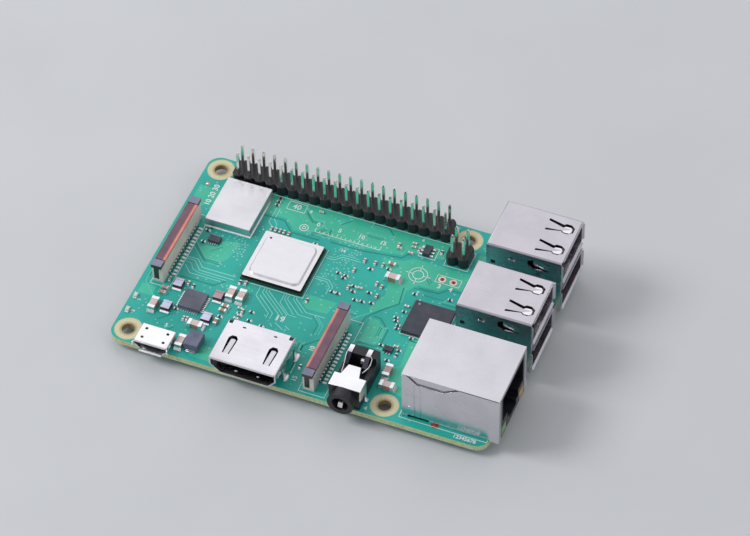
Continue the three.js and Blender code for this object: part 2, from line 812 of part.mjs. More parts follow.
function powerSocket() {
  const group = new THREE.Group();
  group.position.set(powerX, -powerOverhang, 0);
  const size = [powerWidth, powerBaseWidth, powerHeight, powerShoulderHeight, powerRise];
  const tube = cut(
    alongY(receptacleOutline(...size, 0), 0, powerDepth),
    alongY(receptacleOutline(...size, powerSheet), -cutOverrun, powerDepth - powerSheet),
  );
  const half = powerWidth / 2;
  const inner = powerHeight - powerSheet;
  const topLip = alongX(
    lipProfile(inner, powerHeight, powerSheet, powerLipLength, powerLipFlare),
    -half + powerSheet,
    half - powerSheet,
  );
  const bottomLip = alongX(
    lipProfile(powerRise, powerRise + powerSheet, powerSheet, powerLipLength, -powerSheet),
    -powerBaseWidth / 2 + powerSheet,
    powerBaseWidth / 2 - powerSheet,
  );
  const flank = lipProfile(half - powerSheet, half, powerSheet, powerLipLength, powerLipFlare);
  const sideLips = [-1, 1].map((side) =>
    alongZ(
      flank.map(([y, x]) => [side * x, y]),
      powerShoulderHeight,
      inner,
    ),
  );
  const windows = [-1, 1].flatMap((side) =>
    [-1, 1].map((end) =>
      slab(
        side * powerWindowShareX * powerWidth,
        powerDepth / 2 + end * powerWindowShareY * powerDepth,
        inner - cutOverrun / 2,
        powerWindowSize,
        powerWindowSize,
        powerSheet + cutOverrun,
      ),
    ),
  );
  const tabs = powerFootprint.map(([x, y, width, depth]) =>
    slab(x, y, -powerTabDrop, width, depth, powerShoulderHeight + powerTabDrop),
  );
  const blockFront = powerDepth - powerSheet - powerBlockDepth;
  const blockOutline = receptacleOutline(...size, powerSheet + insertGap);
  const rear = alongY(blockOutline, blockFront, powerDepth - powerSheet);
  const tongueTop = inner - powerTongueThickness;
  const tongue = block(
    -powerTongueWidth / 2,
    powerTongueWidth / 2,
    powerTongueSetback,
    blockFront + powerBlockDepth / 2,
    tongueTop - powerTongueThickness,
    tongueTop,
  );
  const shell = join(cut(tube, windows), topLip, bottomLip, sideLips, tabs);
  group.add(
    piece("power_socket_shell", shell, tinned, 0.3, 0.9),
    piece("power_socket_tongue", join(rear, tongue), moulding, 0.5, 0),
  );
  return group;
}

function videoPort() {
  const group = new THREE.Group();
  group.position.set(videoX, -videoOverhang, 0);
  const size = [videoWidth, videoBaseWidth, videoHeight, videoShoulderHeight, videoRise];
  const tube = cut(
    alongY(receptacleOutline(...size, 0), 0, videoDepth),
    alongY(receptacleOutline(...size, videoSheet), -cutOverrun, videoDepth + cutOverrun),
  );
  const half = videoWidth / 2;
  const inner = videoHeight - videoSheet;
  const notchX = half - videoRearNotchWidth / 2;
  const notches = [-1, 1].map((side) =>
    slab(
      side * notchX,
      videoDepth - videoRearNotchDepth / 2,
      inner - cutOverrun / 2,
      videoRearNotchWidth - 2 * videoSheet,
      videoRearNotchDepth,
      videoSheet + cutOverrun,
    ),
  );
  const dimples = [-1, 1].map((side) =>
    slab(
      side * videoDimpleShare * videoWidth,
      videoDepth - videoDimpleSetback,
      inner - cutOverrun / 2,
      videoDimpleSize,
      videoDimpleSize / 2,
      videoSheet + cutOverrun,
    ),
  );
  const lip = alongX(
    lipProfile(inner, videoHeight, videoSheet, videoLipLength, videoLipFlare),
    -half + videoSheet,
    half - videoSheet,
  );

  // The mouth slants back from its shoulders, so the floor starts behind the roof.
  const slant = alongX(
    [
      [0, videoShoulderHeight],
      [videoFloorSetback, videoRise + videoSheet],
      [videoFloorSetback, 0],
      [-cutOverrun, 0],
      [-cutOverrun, videoShoulderHeight],
    ],
    -half - cutOverrun,
    half + cutOverrun,
  );
  const fingers = [-1, 1].map((side) =>
    sprungFinger(
      fingerFrame(axisY, axisZ, side * videoFingerShare * videoWidth, videoFingerSetback, videoHeight),
      videoSheet,
      {
        length: videoFingerLength,
        rootWidth: videoFingerWidth,
        neckWidth: videoFingerWidth,
        headWidth: videoFingerWidth,
        headLength: videoFingerHeadLength,
        slot: videoFingerSlot,
        dip: videoFingerDip,
      },
    ),
  );
  const shell = join(
    withFingers(cut(tube, notches, dimples, slant), fingers),
    lip,
    tails(videoFootprint, videoShoulderHeight + videoSheet),
  );
  const blockFront = videoDepth - videoBlockDepth;
  const rear = alongY(receptacleOutline(...size, videoSheet + insertGap), blockFront, videoDepth);
  const middle = (inner + videoRise) / 2;
  const tongue = block(
    -videoTongueWidth / 2,
    videoTongueWidth / 2,
    videoTongueSetback,
    blockFront + videoBlockDepth / 2,
    middle - videoTongueThickness / 2,
    middle + videoTongueThickness / 2,
  );
  const footWidth = videoBaseWidth - 2 * videoFootMargin;
  const foot = slab(0, videoDepth - videoLeadLength / 2, 0, footWidth, videoLeadLength, videoShoulderHeight);
  const leads = [];
  for (let i = 0; i < videoLeadCount; i += 1) {
    const x = (i - (videoLeadCount - 1) / 2) * videoLeadPitch;
    leads.push(slab(x, videoDepth, 0, videoLeadWidth, 2 * videoLeadLength, videoLeadHeight));
  }
  const openBase = block(
    -videoBaseWidth / 2 + videoSheet,
    videoBaseWidth / 2 - videoSheet,
    videoDepth - videoLeadLength - videoSheet,
    videoDepth + cutOverrun,
    -cutOverrun,
    videoRise + videoSheet + cutOverrun,
  );
  group.add(
    piece("video_port_shell", cut(shell, openBase), tinned, 0.3, 0.9),
    piece("video_port_insert", join(rear, tongue, foot, leads), moulding, 0.5, 0),
  );
  return group;
}

function ribbonConnector(name, placeShares) {
  const group = new THREE.Group();
  group.position.set(placeShares[0] * boardLength, placeShares[1] * boardWidth, 0);
  const halfLength = ribbonLength / 2;
  const halfWidth = ribbonWidth / 2;
  const slotLeft = -halfWidth + ribbonBackWall;
  const slotRight = halfWidth - ribbonContactWall;
  const slotHalf = halfLength - ribbonEndWall;
  const endTop = ribbonHeight - ribbonEndDrop;
  const legX = (slotLeft + slotRight) / 2;
  const body = block(-halfWidth, halfWidth, -halfLength, halfLength, 0, ribbonHeight);
  const slot = block(slotLeft, slotRight, -slotHalf, slotHalf, ribbonFloor, ribbonHeight + cutOverrun);
  const endCuts = [-1, 1].flatMap((end) => [
    slab(0, end * halfLength, endTop, ribbonWidth + 2 * cutOverrun, 2 * ribbonEndWall, ribbonHeight),
    slab(
      legX,
      end * (halfLength - latchLegDepth / 2 + cutOverrun / 2),
      ribbonFloor,
      latchLegWidth + 2 * latchClearance,
      latchLegDepth + cutOverrun + 2 * latchClearance,
      ribbonHeight,
    ),
  ]);

  // Each contact leaves the wall through its own slot, then bends down to a flat foot on the board.
  const reach = halfWidth + ribbonLeadReach;
  const shoulder = halfWidth + ribbonLeadShoulder;
  const lead = [
    [halfWidth - 2 * ribbonCombDepth, ribbonLeadHeight - ribbonLeadThickness],
    [halfWidth - 2 * ribbonCombDepth, ribbonLeadHeight],
    [shoulder, ribbonLeadHeight],
    [reach - ribbonLeadFlat, ribbonLeadThickness],
    [reach, ribbonLeadThickness],
    [reach, 0],
    [reach - ribbonLeadFlat - ribbonLeadThickness / 2, 0],
    [shoulder - ribbonLeadThickness / 2, ribbonLeadHeight - ribbonLeadThickness],
  ];
  const comb = [];
  const leads = [];
  for (let i = 0; i < ribbonContactCount; i += 1) {
    const y = (i - (ribbonContactCount - 1) / 2) * ribbonContactPitch;
    comb.push(slab(halfWidth, y, 0, 2 * ribbonCombDepth, 2 * ribbonContactWidth, ribbonCombHeight));
    leads.push(alongY(lead, y - ribbonContactWidth / 2, y + ribbonContactWidth / 2));
  }
  const housing = join(cut(body, slot, endCuts, comb), leads);

  // The latch is a bar with a stem in the slot, a cap over the walls, and a head with a leg at each end.
  const capTop = ribbonHeight + latchCapHeight;
  const stemHalf = slotHalf - latchClearance;
  const stem = block(
    slotLeft + latchClearance,
    slotRight - latchClearance,
    -stemHalf,
    stemHalf,
    ribbonHeight - latchStemHeight,
    capTop,
  );
  const headEnd = halfLength + latchHeadOverhang;
  const capHalf = headEnd - latchHeadLength - latchHeadGroove;
  const cap = block(-halfWidth + latchCapInset, halfWidth, -capHalf, capHalf, ribbonHeight, capTop);
  const spine = block(
    legX - latchLegWidth / 2,
    legX + latchLegWidth / 2,
    -headEnd + latchHeadLength / 2,
    headEnd - latchHeadLength / 2,
    ribbonHeight,
    capTop - latchHeadGroove,
  );
  const heads = [-1, 1].flatMap((end) => [
    slab(0, end * (headEnd - latchHeadLength / 2), endTop, latchHeadWidth, latchHeadLength, capTop - endTop),
    slab(
      legX,
      end * (halfLength - latchLegDepth / 2),
      ribbonFloor,
      latchLegWidth,
      latchLegDepth,
      capTop - ribbonFloor,
    ),
  ]);
  group.add(
    piece(name + "_housing", housing, beige, 0.6, 0),
    piece(name + "_latch", join(stem, cap, spine, heads), latchBrown, 0.45, 0),
  );
  return group;
}

function audioJack() {
  const group = new THREE.Group();
  group.position.set(audioX, audioFrontInset, 0);
  const half = audioWidth / 2;
  const inner = half - audioFlankWall;
  const rearBlockFront = audioDepth - audioRearBlockDepth;
  const sideTop = audioHeight - audioFlankDrop;
  const profile = [
    [0, 0],
    [audioDepth, 0],
    [audioDepth, audioHeight],
    [rearBlockFront, audioHeight],
    [rearBlockFront, sideTop],
    [audioFrontBlockDepth, sideTop],
    [audioFrontBlockDepth, audioHeight],
    [0, audioHeight],
  ];
  const body = alongX(profile, -half, half);
  const pocket = block(-inner, inner, audioFrontBlockDepth, rearBlockFront, audioBaseHeight, audioHeight);
  const barrelFront = -audioBarrelLength;
  const barrel = rodAlongY(0, audioAxisHeight, audioBarrelDiameter, barrelFront, cutOverrun, roundSides);
  const boreFront = barrelFront - cutOverrun;
  const bore = rodAlongY(0, audioAxisHeight, audioBoreDiameter, boreFront, rearBlockFront, roundSides);
  const barrelTop = audioAxisHeight + audioBarrelDiameter;
  const aboveBlock = block(-half, half, 0, audioFrontBlockDepth, audioHeight, barrelTop);
  const pegs = audioPegShares.map((share) =>
    rod(0, share * audioDepth, audioPegDiameter, boardBottom, cutOverrun, smallRoundSides),
  );

  // The front contact is one stamped plate on the front block, with a tongue behind and a leg on its right.
  const top = audioHeight + audioPlateSheet;
  const [rootShare, tipShare] = audioPlateTongueShares;
  const plateOutline = [
    [-half, 0],
    [half + audioPlateSheet, 0],
    [half + audioPlateSheet, audioFrontBlockDepth],
    [rootShare * half, audioFrontBlockDepth],
    [tipShare * half, audioFrontBlockDepth + audioPlateTongueLength],
    [-tipShare * half, audioFrontBlockDepth + audioPlateTongueLength],
    [-rootShare * half, audioFrontBlockDepth],
    [-half, audioFrontBlockDepth],
  ];
  const plate = alongZ(plateOutline, audioHeight, top);
  const legY = audioFrontBlockDepth - audioPlateTabDepth;
  const skirt = block(half, half + audioPlateSheet, 0, audioFrontBlockDepth, audioHeight / 2, audioHeight);
  const leg = block(half, half + audioPlateSheet, legY, audioFrontBlockDepth, 0, audioHeight);
  const foot = block(half, half + audioPlateFootReach, legY, audioFrontBlockDepth, 0, audioPlateSheet);

  // Each side contact lies on the rear block and slopes down and inwards along its side of the bore.
  const leafEnd = rearBlockFront - audioLeafReach;
  const leafProfile = [
    [audioDepth - audioLeafInset, audioHeight],
    [audioDepth - audioLeafInset, audioHeight + audioLeafSheet],
    [audioDepth - audioLeafTop, audioHeight + audioLeafSheet],
    [leafEnd, audioHeight - audioLeafDip + audioLeafSheet],
    [leafEnd, audioHeight - audioLeafDip],
    [audioDepth - audioLeafTop, audioHeight],
  ];
  const leaf = (share) =>
    alongX(leafProfile, share * half - audioLeafWidth / 2, share * half + audioLeafWidth / 2);
  const hollow = cut(join(body, barrel), aboveBlock, pocket, bore);
  group.add(
    piece("audio_jack_housing", join(hollow, pegs), moulding, 0.45, 0),
    piece("audio_jack_front_contact", join(plate, skirt, leg, foot), tinned, 0.25, 0.95),
    piece("audio_jack_left_contact", leaf(audioLeftLeafShare), tinned, 0.25, 0.95),
    piece("audio_jack_right_contact", leaf(audioRightLeafShare), tinned, 0.25, 0.95),
  );
  return group;
}

function networkJack() {
  const group = new THREE.Group();
  group.position.set(networkX, networkY, 0);
  const half = networkWidth / 2;
  const faceHalf = half - networkFaceMarginFlank;
  const faceTop = networkHeight - networkFaceMarginTop;
  const inner = half - networkSheet;
  const roof = networkHeight - networkSheet;
  const box = cut(
    block(-networkDepth, 0, -half, half, 0, networkHeight),
    block(-networkDepth + networkSheet, -networkSheet, -inner, inner, -cutOverrun, roof),
    block(-networkSheet - cutOverrun, cutOverrun, -faceHalf, faceHalf, networkFaceMarginBottom, faceTop),
  );
  const seamTop = roof - networkNotchHeight;
  const seams = networkSeamShares.flatMap((share) =>
    [-1, 1].map((side) =>
      slab(
        -share * networkDepth,
        side * half,
        -cutOverrun,
        networkSeamWidth,
        2 * networkSeamDepth,
        seamTop + cutOverrun,
      ),
    ),
  );
  const [notchA, notchB, notchC, notchD] = networkNotchLengthShares.map((share) => -share * networkDepth);
  const notchOutline = [
    [notchA, roof],
    [notchB, seamTop],
    [notchC, seamTop],
    [notchD, roof],
  ];
  const notches = [-1, 1].map((side) => {
    const middle = side * (half - networkSeamDepth / 2);
    return alongY(notchOutline, middle - networkSeamDepth, middle + networkSeamDepth);
  });
  const [footRear, footFront] = networkFootGapShares.map((share) => -share * networkDepth);
  const footGaps = [-1, 1].map((side) =>
    slab(
      (footRear + footFront) / 2,
      side * half,
      -cutOverrun,
      footFront - footRear,
      2 * (networkSheet + insertGap),
      networkFootGapHeight + cutOverrun,
    ),
  );
  const tabs = networkTabFootprint.map(([x, y, width, depth]) =>
    slab(x, y, boardBottom - tailDrop, width, depth, networkHeight / 2 - boardBottom + tailDrop),
  );
  const shell = join(cut(box, seams, notches, footGaps), tabs);

  const inset = networkSheet + insertGap;
  const insertTop = networkHeight - inset;
  const halfCavity = networkCavityWidth / 2;
  const core = block(-networkDepth + inset, -inset, -half + inset, half - inset, 0, insertTop);
  const face = block(
    -2 * inset,
    0,
    -faceHalf + insertGap,
    faceHalf - insertGap,
    networkFaceMarginBottom + insertGap,
    faceTop - insertGap,
  );
  const mouth = [
    [-halfCavity, networkCavityBottom],
    [-networkLatchWidth / 2, networkCavityBottom],
    [-networkLatchWidth / 2, networkLatchBottom],
    [-networkLatchTipWidth / 2, networkLatchBottom],
    [-networkLatchTipWidth / 2, networkLatchTipBottom],
    [networkLatchTipWidth / 2, networkLatchTipBottom],
    [networkLatchTipWidth / 2, networkLatchBottom],
    [networkLatchWidth / 2, networkLatchBottom],
    [networkLatchWidth / 2, networkCavityBottom],
    [halfCavity, networkCavityBottom],
    [halfCavity, networkCavityTop],
    [-halfCavity, networkCavityTop],
  ];
  const cavity = alongX(mouth, -networkCavityDepth, cutOverrun);
  const lightY = faceHalf - insertGap - networkLightInset - networkLightWidth / 2;
  const pockets = [-1, 1].map((side) =>
    slab(
      -networkLightDepth / 2,
      side * lightY,
      networkLightRise - networkLightClearance,
      networkLightDepth + 2 * networkLightClearance,
      networkLightWidth + 2 * networkLightClearance,
      networkLightHeight + 2 * networkLightClearance,
    ),
  );
  const contacts = [];
  for (let i = 0; i < networkContactCount; i += 1) {
    const y = (i - (networkContactCount - 1) / 2) * networkContactPitch;
    const rootX = -networkContactSetback;
    const tipX = rootX - networkContactLength;
    const strip = [
      [rootX, networkCavityTop],
      [tipX, networkCavityTop - networkContactDrop],
      [tipX, networkCavityTop - networkContactDrop - networkContactThickness],
      [rootX + networkContactThickness, networkCavityTop - networkContactThickness],
      [rootX + networkContactThickness, networkCavityTop],
    ];
    contacts.push(alongY(strip, y - networkContactWidth / 2, y + networkContactWidth / 2));
  }
  const pegX = -networkPegShare * networkDepth;
  const pegBottom = boardBottom - tailDrop / 2;
  const pegs = [-1, 1].map((side) =>
    rod(pegX, side * networkPegSpread, networkPegDiameter, pegBottom, cutOverrun, smallRoundSides),
  );
  const hollow = cut(join(core, face), cavity, pockets);
  const insert = join(hollow, contacts, pegs, tails(networkTailFootprint, cutOverrun));
  group.add(
    piece("network_jack_shell", shell, tinned, 0.3, 0.9),
    piece("network_jack_insert", insert, moulding, 0.5, 0),
  );
  const lightX = -networkLightDepth / 2;
  const lightSize = [networkLightDepth, networkLightWidth, networkLightHeight];
  group.add(
    piece("network_light_left", slab(lightX, -lightY, networkLightRise, ...lightSize), lensGreen, 0.3, 0),
    piece("network_light_right", slab(lightX, lightY, networkLightRise, ...lightSize), lensAmber, 0.3, 0),
  );
  return group;
}

// The four flared edges round one port mouth: above, below and at both sides.
function usbLips(bottom, top) {
  const half = usbWidth / 2;
  const reach = half - usbLipCornerGap;
  const roof = lipProfile(top, top + usbSheet, usbSheet, usbLipLength, usbLipFlare);
  const upper = roof.map(([depth, z]) => [-depth, z]);
  const lower = upper.map(([x, z]) => [x, bottom + top - z]);
  const flank = lipProfile(half - usbSheet, half, usbSheet, usbLipLength, usbLipFlare);
  const side = flank.map(([depth, y]) => [-depth, y]);
  const mirrored = side.map(([x, y]) => [x, -y]);
  return [
    alongY(upper, -reach, reach),
    alongY(lower, -reach, reach),
    alongZ(side, bottom + usbLipCornerGap, top - usbLipCornerGap),
    alongZ(mirrored, bottom + usbLipCornerGap, top - usbLipCornerGap),
  ];
}

function usbStack(name, placeShare) {
  const group = new THREE.Group();
  group.position.set(usbX, placeShare * boardWidth, 0);
  const half = usbWidth / 2;
  const inner = half - usbSheet;
  const floorTop = usbFloorRise + usbSheet;
  const roof = usbHeight - usbSheet;
  const ports = [
    [floorTop, floorTop + usbPortHeight],
    [roof - usbPortHeight, roof],
  ];
  const box = cut(
    block(-usbDepth, 0, -half, half, 0, usbHeight),
    block(-usbDepth + usbSheet, cutOverrun, -inner, inner, floorTop, roof),
    block(-usbPortDepth, cutOverrun, -inner, inner, -cutOverrun, usbFloorRise),
    block(-usbDepth + usbSheet, -usbPortDepth, -inner, inner, -cutOverrun, floorTop + cutOverrun),
  );
  const dividerBottom = ports[0][1];
  const dividerTop = ports[1][0];
  const gapBottom = dividerBottom + usbSheet;
  const gapTop = dividerTop - usbSheet;
  const divider = cut(
    block(-usbPortDepth, 0, -inner, inner, dividerBottom, dividerTop),
    block(-usbPortDepth - cutOverrun, -usbSheet, -inner, inner, gapBottom, gapTop),
  );
  const fingerRoot = -usbFingerTipSetback - usbFingerLength;
  const topFingers = [-1, 1].map((side) => ({
    frame: fingerFrame(axisX, axisZ, fingerRoot, side * usbFingerSpread, usbHeight),
    shape: {
      length: usbFingerLength,
      rootWidth: usbFingerRootWidth,
      neckWidth: usbFingerNeckWidth,
      headWidth: usbFingerHeadWidth,
      headLength: usbFingerHeadLength,
      slot: usbFingerSlot,
      dip: usbFingerDip,
    },
  }));
  const flankFingers = [-1, 1].flatMap((side) =>
    ports.map(([bottom, top]) => ({
      frame: fingerFrame(
        axisX.clone().negate(),
        axisY.clone().multiplyScalar(side),
        -usbFlankFingerSetback,
        side * half,
        (bottom + top) / 2,
      ),
      shape: {
        length: usbFlankFingerLength,
        rootWidth: usbFlankFingerWidth,
        neckWidth: usbFlankFingerWidth,
        headWidth: usbFlankFingerWidth,
        headLength: usbFlankHeadLength,
        slot: usbFingerSlot,
        dip: usbFingerDip / 2,
      },
    })),
  );
  const placed = [...topFingers, ...flankFingers];
  const fingers = placed.map(({ frame, shape }) => sprungFinger(frame, usbSheet, shape));
  const windows = [-1, 1].map((side) =>
    slab(
      -usbDepth + usbWindowSetback + usbWindowSize / 2,
      side * half,
      usbWindowHeightShare * usbHeight - usbWindowSize / 2,
      usbWindowSize,
      2 * usbSheet + cutOverrun,
      usbWindowSize,
    ),
  );
  const tabs = usbTabFootprint.map(([x, y, width, depth]) =>
    slab(x, y, boardBottom - tailDrop, width, depth, usbHeight / 2 - boardBottom + tailDrop),
  );
  const shell = join(
    withFingers(cut(join(box, divider), windows), fingers),
    ports.flatMap(([bottom, top]) => usbLips(bottom, top)),
    tabs,
  );

  const blockFront = -usbPortDepth - usbInsertGap;
  const blockRear = -usbDepth + usbSheet + usbInsertGap;
  const coreHalf = inner - usbInsertGap;
  const core = block(blockRear, blockFront, -coreHalf, coreHalf, 0, roof - usbInsertGap);
  const tongues = ports.flatMap(([, top]) => {
    const tongueTop = top - usbTongueTopGap;
    const tongueBottom = tongueTop - usbTongueThickness;
    const halfTongue = usbTongueWidth / 2;
    const tongueRear = blockFront - usbSheet;
    const tongue = block(tongueRear, -usbTongueSetback, -halfTongue, halfTongue, tongueBottom, tongueTop);
    const contacts = usbContactPitchShares.map((share) =>
      block(
        tongueRear,
        -usbTongueSetback - usbSheet,
        share * usbTongueWidth - usbContactWidth / 2,
        share * usbTongueWidth + usbContactWidth / 2,
        tongueBottom - usbContactProud,
        tongueTop - usbTongueThickness / 2,
      ),
    );
    return [tongue, ...contacts];
  });
  group.add(
    piece(name + "_usb_shell", shell, tinned, 0.3, 0.9),
    piece(name + "_usb_insert", join(core, tongues, tails(usbTailFootprint, floorTop)), moulding, 0.5, 0),
  );
  return group;
}

// The socket hangs under the board with its mouth at the left edge.
// Its metal shell holds the tray against the board.
function cardSocket() {
  const group = new THREE.Group();
  group.position.set(cardMouthInset, cardY, boardBottom);
  const half = cardWidth / 2;
  const cover = [
    [0, -half + cardMouthChamfer],
    [cardMouthChamfer, -half],
    [cardDepth, -half],
    [cardDepth, half],
    [cardMouthChamfer, half],
    [0, half - cardMouthChamfer],
  ];
  const detents = cardDetentShares.flatMap((share) =>
    [-1, 1].map((side) =>
      slab(
        share * cardDepth,
        (side * cardWidth) / 4,
        -cardHeight - cutOverrun,
        cardDetentLength,
        cardDetentWidth,
        cardSheet + 2 * cutOverrun,
      ),
    ),
  );
  const wall = half - cardSheet;
  const room = block(-cutOverrun, cardDepth - cardSheet, -wall, wall, -cardHeight + cardSheet, cutOverrun);
  const shell = cut(alongZ(cover, -cardHeight, 0), room, detents);
  const inner = half - cardSheet - cardTrayGap;
  const tray = block(cardTrayGap, cardDepth - cardSheet - cardTrayGap, -inner, inner, -cardTrayThickness, 0);
  const contacts = [];
  for (let i = 0; i < cardContactCount; i += 1) {
    const y = (i - (cardContactCount - 1) / 2) * cardContactPitch;
    contacts.push(
      slab(
        cardDepth - cardContactSetback,
        y,
        -cardTrayThickness - cardContactRise,
        cardContactLength,
        cardContactWidth,
        cardContactRise + cardTrayThickness / 2,
      ),
    );
  }
  group.add(
    piece("card_socket_shell", shell, tinned, 0.35, 0.9),
    piece("card_socket_tray", join(tray, contacts), moulding, 0.6, 0),
  );
  return group;
}

// Soldered tails of each connector, from the middle of its front edge.
const powerFootprint = [-1, 1].map((side) => [
  (side * (powerWidth - powerTabWidth)) / 2,
  powerDepth - powerTabDepth,
  powerTabWidth,
  powerTabDepth,
]);
const videoTabX = (videoWidth - videoSheet) / 2;
const videoFootprint = videoTabShares.flatMap((share) =>
  [-1, 1].map((side) => [side * videoTabX, share * videoDepth, videoSheet, videoTabDepth]),
);
const networkTabFootprint = [-1, 1].map((side) => [
  -networkTabShare * networkDepth,
  (side * (networkWidth - networkSheet)) / 2,
  networkTabDepth,
  networkSheet,
]);
const networkTailFootprint = networkTailShares.flatMap((share, row) => {
  const places = [];
  for (let i = 0; i < networkTailColumns; i += 1) {
    const y = (i - (networkTailColumns - 1) / 2 + (row % 2) / 4) * networkTailPitch;
    places.push([-share * networkDepth, y, networkTailWidth, networkTailWidth]);
  }
  return places;
});
const usbTabFootprint = usbTabShares.flatMap((share) =>
  [-1, 1].map((side) => [-share * usbDepth, (side * (usbWidth - usbSheet)) / 2, usbTabDepth, usbSheet]),
);
const usbTailFootprint = usbTailRowShares.flatMap((rowShare) => {
  const x = -rowShare * usbDepth;
  return usbContactPitchShares.map((share) => [x, share * usbTongueWidth, usbTailWidth, usbTailWidth]);
});

function circuitBoard() {
  const middleX = boardLength / 2;
  const middleY = boardWidth / 2;
  const outline = roundedRectangle(boardLength, boardWidth, boardCornerRadius, middleX, middleY);
  const plate = alongZ(outline, boardBottom, 0);
  const below = boardBottom - cutOverrun;
  const ringFloor = boardBottom + solderMaskDepth;
  const cuts = [];
  for (const x of [mountHoleInset, mountHoleInset + mountHoleSpan]) {
    for (const y of [mountHoleInset, boardWidth - mountHoleInset]) {
      cuts.push(rod(x, y, mountHoleDiameter, below, cutOverrun, roundSides));
      cuts.push(rod(x, y, mountRingDiameter, -solderMaskDepth, cutOverrun, roundSides));
      cuts.push(rod(x, y, mountRingDiameter, below, ringFloor, roundSides));
    }
  }
  cuts.push(...tailHoles(headerFootprint, headerX, headerY));
  cuts.push(...tailHoles(smallHeaderFootprint, smallHeaderX, smallHeaderY));
  cuts.push(...tailHoles(powerFootprint, powerX, -powerOverhang));
  cuts.push(...tailHoles(videoFootprint, videoX, -videoOverhang));
  cuts.push(...tailHoles(networkTabFootprint, networkX, networkY));
  cuts.push(...tailHoles(networkTailFootprint, networkX, networkY));
  for (const share of [rearUsbShare, frontUsbShare]) {
    cuts.push(...tailHoles(usbTabFootprint, usbX, share * boardWidth));
    cuts.push(...tailHoles(usbTailFootprint, usbX, share * boardWidth));
  }
  const pegHole = audioPegDiameter + 2 * tailClearance;
  for (const share of audioPegShares) {
    const y = audioFrontInset + share * audioDepth;
    cuts.push(rod(audioX, y, pegHole, below, cutOverrun, smallRoundSides));
  }
  const largePegHole = networkPegDiameter + 2 * tailClearance;
  for (const side of [-1, 1]) {
    const x = networkX - networkPegShare * networkDepth;
    const y = networkY + side * networkPegSpread;
    cuts.push(rod(x, y, largePegHole, below, cutOverrun, smallRoundSides));
  }
  const spareX = sparePadShares[0] * boardLength;
  const spareY = sparePadShares[1] * boardWidth;
  for (const step of [0, 1]) {
    const x = spareX + step * pinPitch;
    cuts.push(rod(x, spareY, sparePadHoleDiameter, below, cutOverrun, smallRoundSides));
  }
  return piece("circuit_board", cut(plate, cuts), maskGreen, 0.45, 0);
}

const assembly = new THREE.Group();
assembly.add(
  circuitBoard(),
  pinHeader("pin_header", headerColumns, headerFootprint, headerX, headerY),
  pinHeader("small_pin_header", smallHeaderColumns, smallHeaderFootprint, smallHeaderX, smallHeaderY),
  processor(),
  wirelessModule(),
  chips(),
  capacitors(),
  indicatorLights(),
  powerInputParts(),
  powerSocket(),
  videoPort(),
  ribbonConnector("display_ribbon", displayRibbonShares),
  ribbonConnector("camera_ribbon", cameraRibbonShares),
  audioJack(),
  networkJack(),
  usbStack("rear", rearUsbShare),
  usbStack("front", frontUsbShare),
  cardSocket(),
);

// The finished part stands on its lowest tails, with its origin under the middle of its outline.
const extent = new THREE.Box3().setFromObject(assembly);
const centre = extent.getCenter(new THREE.Vector3());
assembly.position.set(-centre.x, -centre.y, -extent.min.z);
const computer = new THREE.Group();
computer.add(assembly);

export default computer;
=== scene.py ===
# Dresses the single board computer: finishes, copper, silkscreen, small parts, solder, light and camera.
import math
import random

import bmesh
import bpy
from mathutils import Matrix, Vector


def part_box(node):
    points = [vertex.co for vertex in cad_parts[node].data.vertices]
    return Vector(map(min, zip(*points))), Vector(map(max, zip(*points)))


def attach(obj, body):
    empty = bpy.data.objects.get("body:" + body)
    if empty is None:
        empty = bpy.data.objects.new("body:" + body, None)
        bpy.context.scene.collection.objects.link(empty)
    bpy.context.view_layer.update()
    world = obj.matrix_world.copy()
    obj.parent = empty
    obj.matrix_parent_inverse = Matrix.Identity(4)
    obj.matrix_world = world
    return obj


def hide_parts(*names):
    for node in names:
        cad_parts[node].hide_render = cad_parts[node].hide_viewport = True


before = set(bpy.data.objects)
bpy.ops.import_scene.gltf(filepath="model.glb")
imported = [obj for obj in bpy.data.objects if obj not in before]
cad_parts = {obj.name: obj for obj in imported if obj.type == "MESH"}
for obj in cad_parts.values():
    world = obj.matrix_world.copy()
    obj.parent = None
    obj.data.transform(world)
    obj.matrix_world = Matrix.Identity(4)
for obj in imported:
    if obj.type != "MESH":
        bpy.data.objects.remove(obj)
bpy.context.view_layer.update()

# Lengths are in millimetres in the board's own frame: its front left corner is at 0, 0 and its top at Z 0.
MM = 0.001
BOARD_LOW, BOARD_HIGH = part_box("circuit_board")
ORIGIN = Vector((BOARD_LOW.x, BOARD_LOW.y, BOARD_HIGH.z))
BOARD_LENGTH = (BOARD_HIGH.x - BOARD_LOW.x) / MM
BOARD_WIDTH = (BOARD_HIGH.y - BOARD_LOW.y) / MM
BOARD_BOTTOM = (BOARD_LOW.z - BOARD_HIGH.z) / MM
HOLE_INSET = 3.5
HOLE_SPAN_X, HOLE_SPAN_Y = 58.0, 49.0
HOLES = [(HOLE_INSET + i * HOLE_SPAN_X, HOLE_INSET + j * HOLE_SPAN_Y) for i in (0, 1) for j in (0, 1)]
HOLE_RADIUS = 1.375
RING_RADIUS = 3.05
RING_INSIDE, RING_OUTSIDE = RING_RADIUS - 0.2, RING_RADIUS + 0.12
RIM_INSIDE, RIM_OUTSIDE = HOLE_RADIUS + 0.05, HOLE_RADIUS + 0.75
SQUARE = [(-1, -1), (1, -1), (1, 1), (-1, 1)]


def box_mm(node):
    low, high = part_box(node)
    return (low - ORIGIN) / MM, (high - ORIGIN) / MM


def in_scene(name, data):
    made = bpy.data.objects.new(name, data)
    bpy.context.scene.collection.objects.link(made)
    return made


# Materials

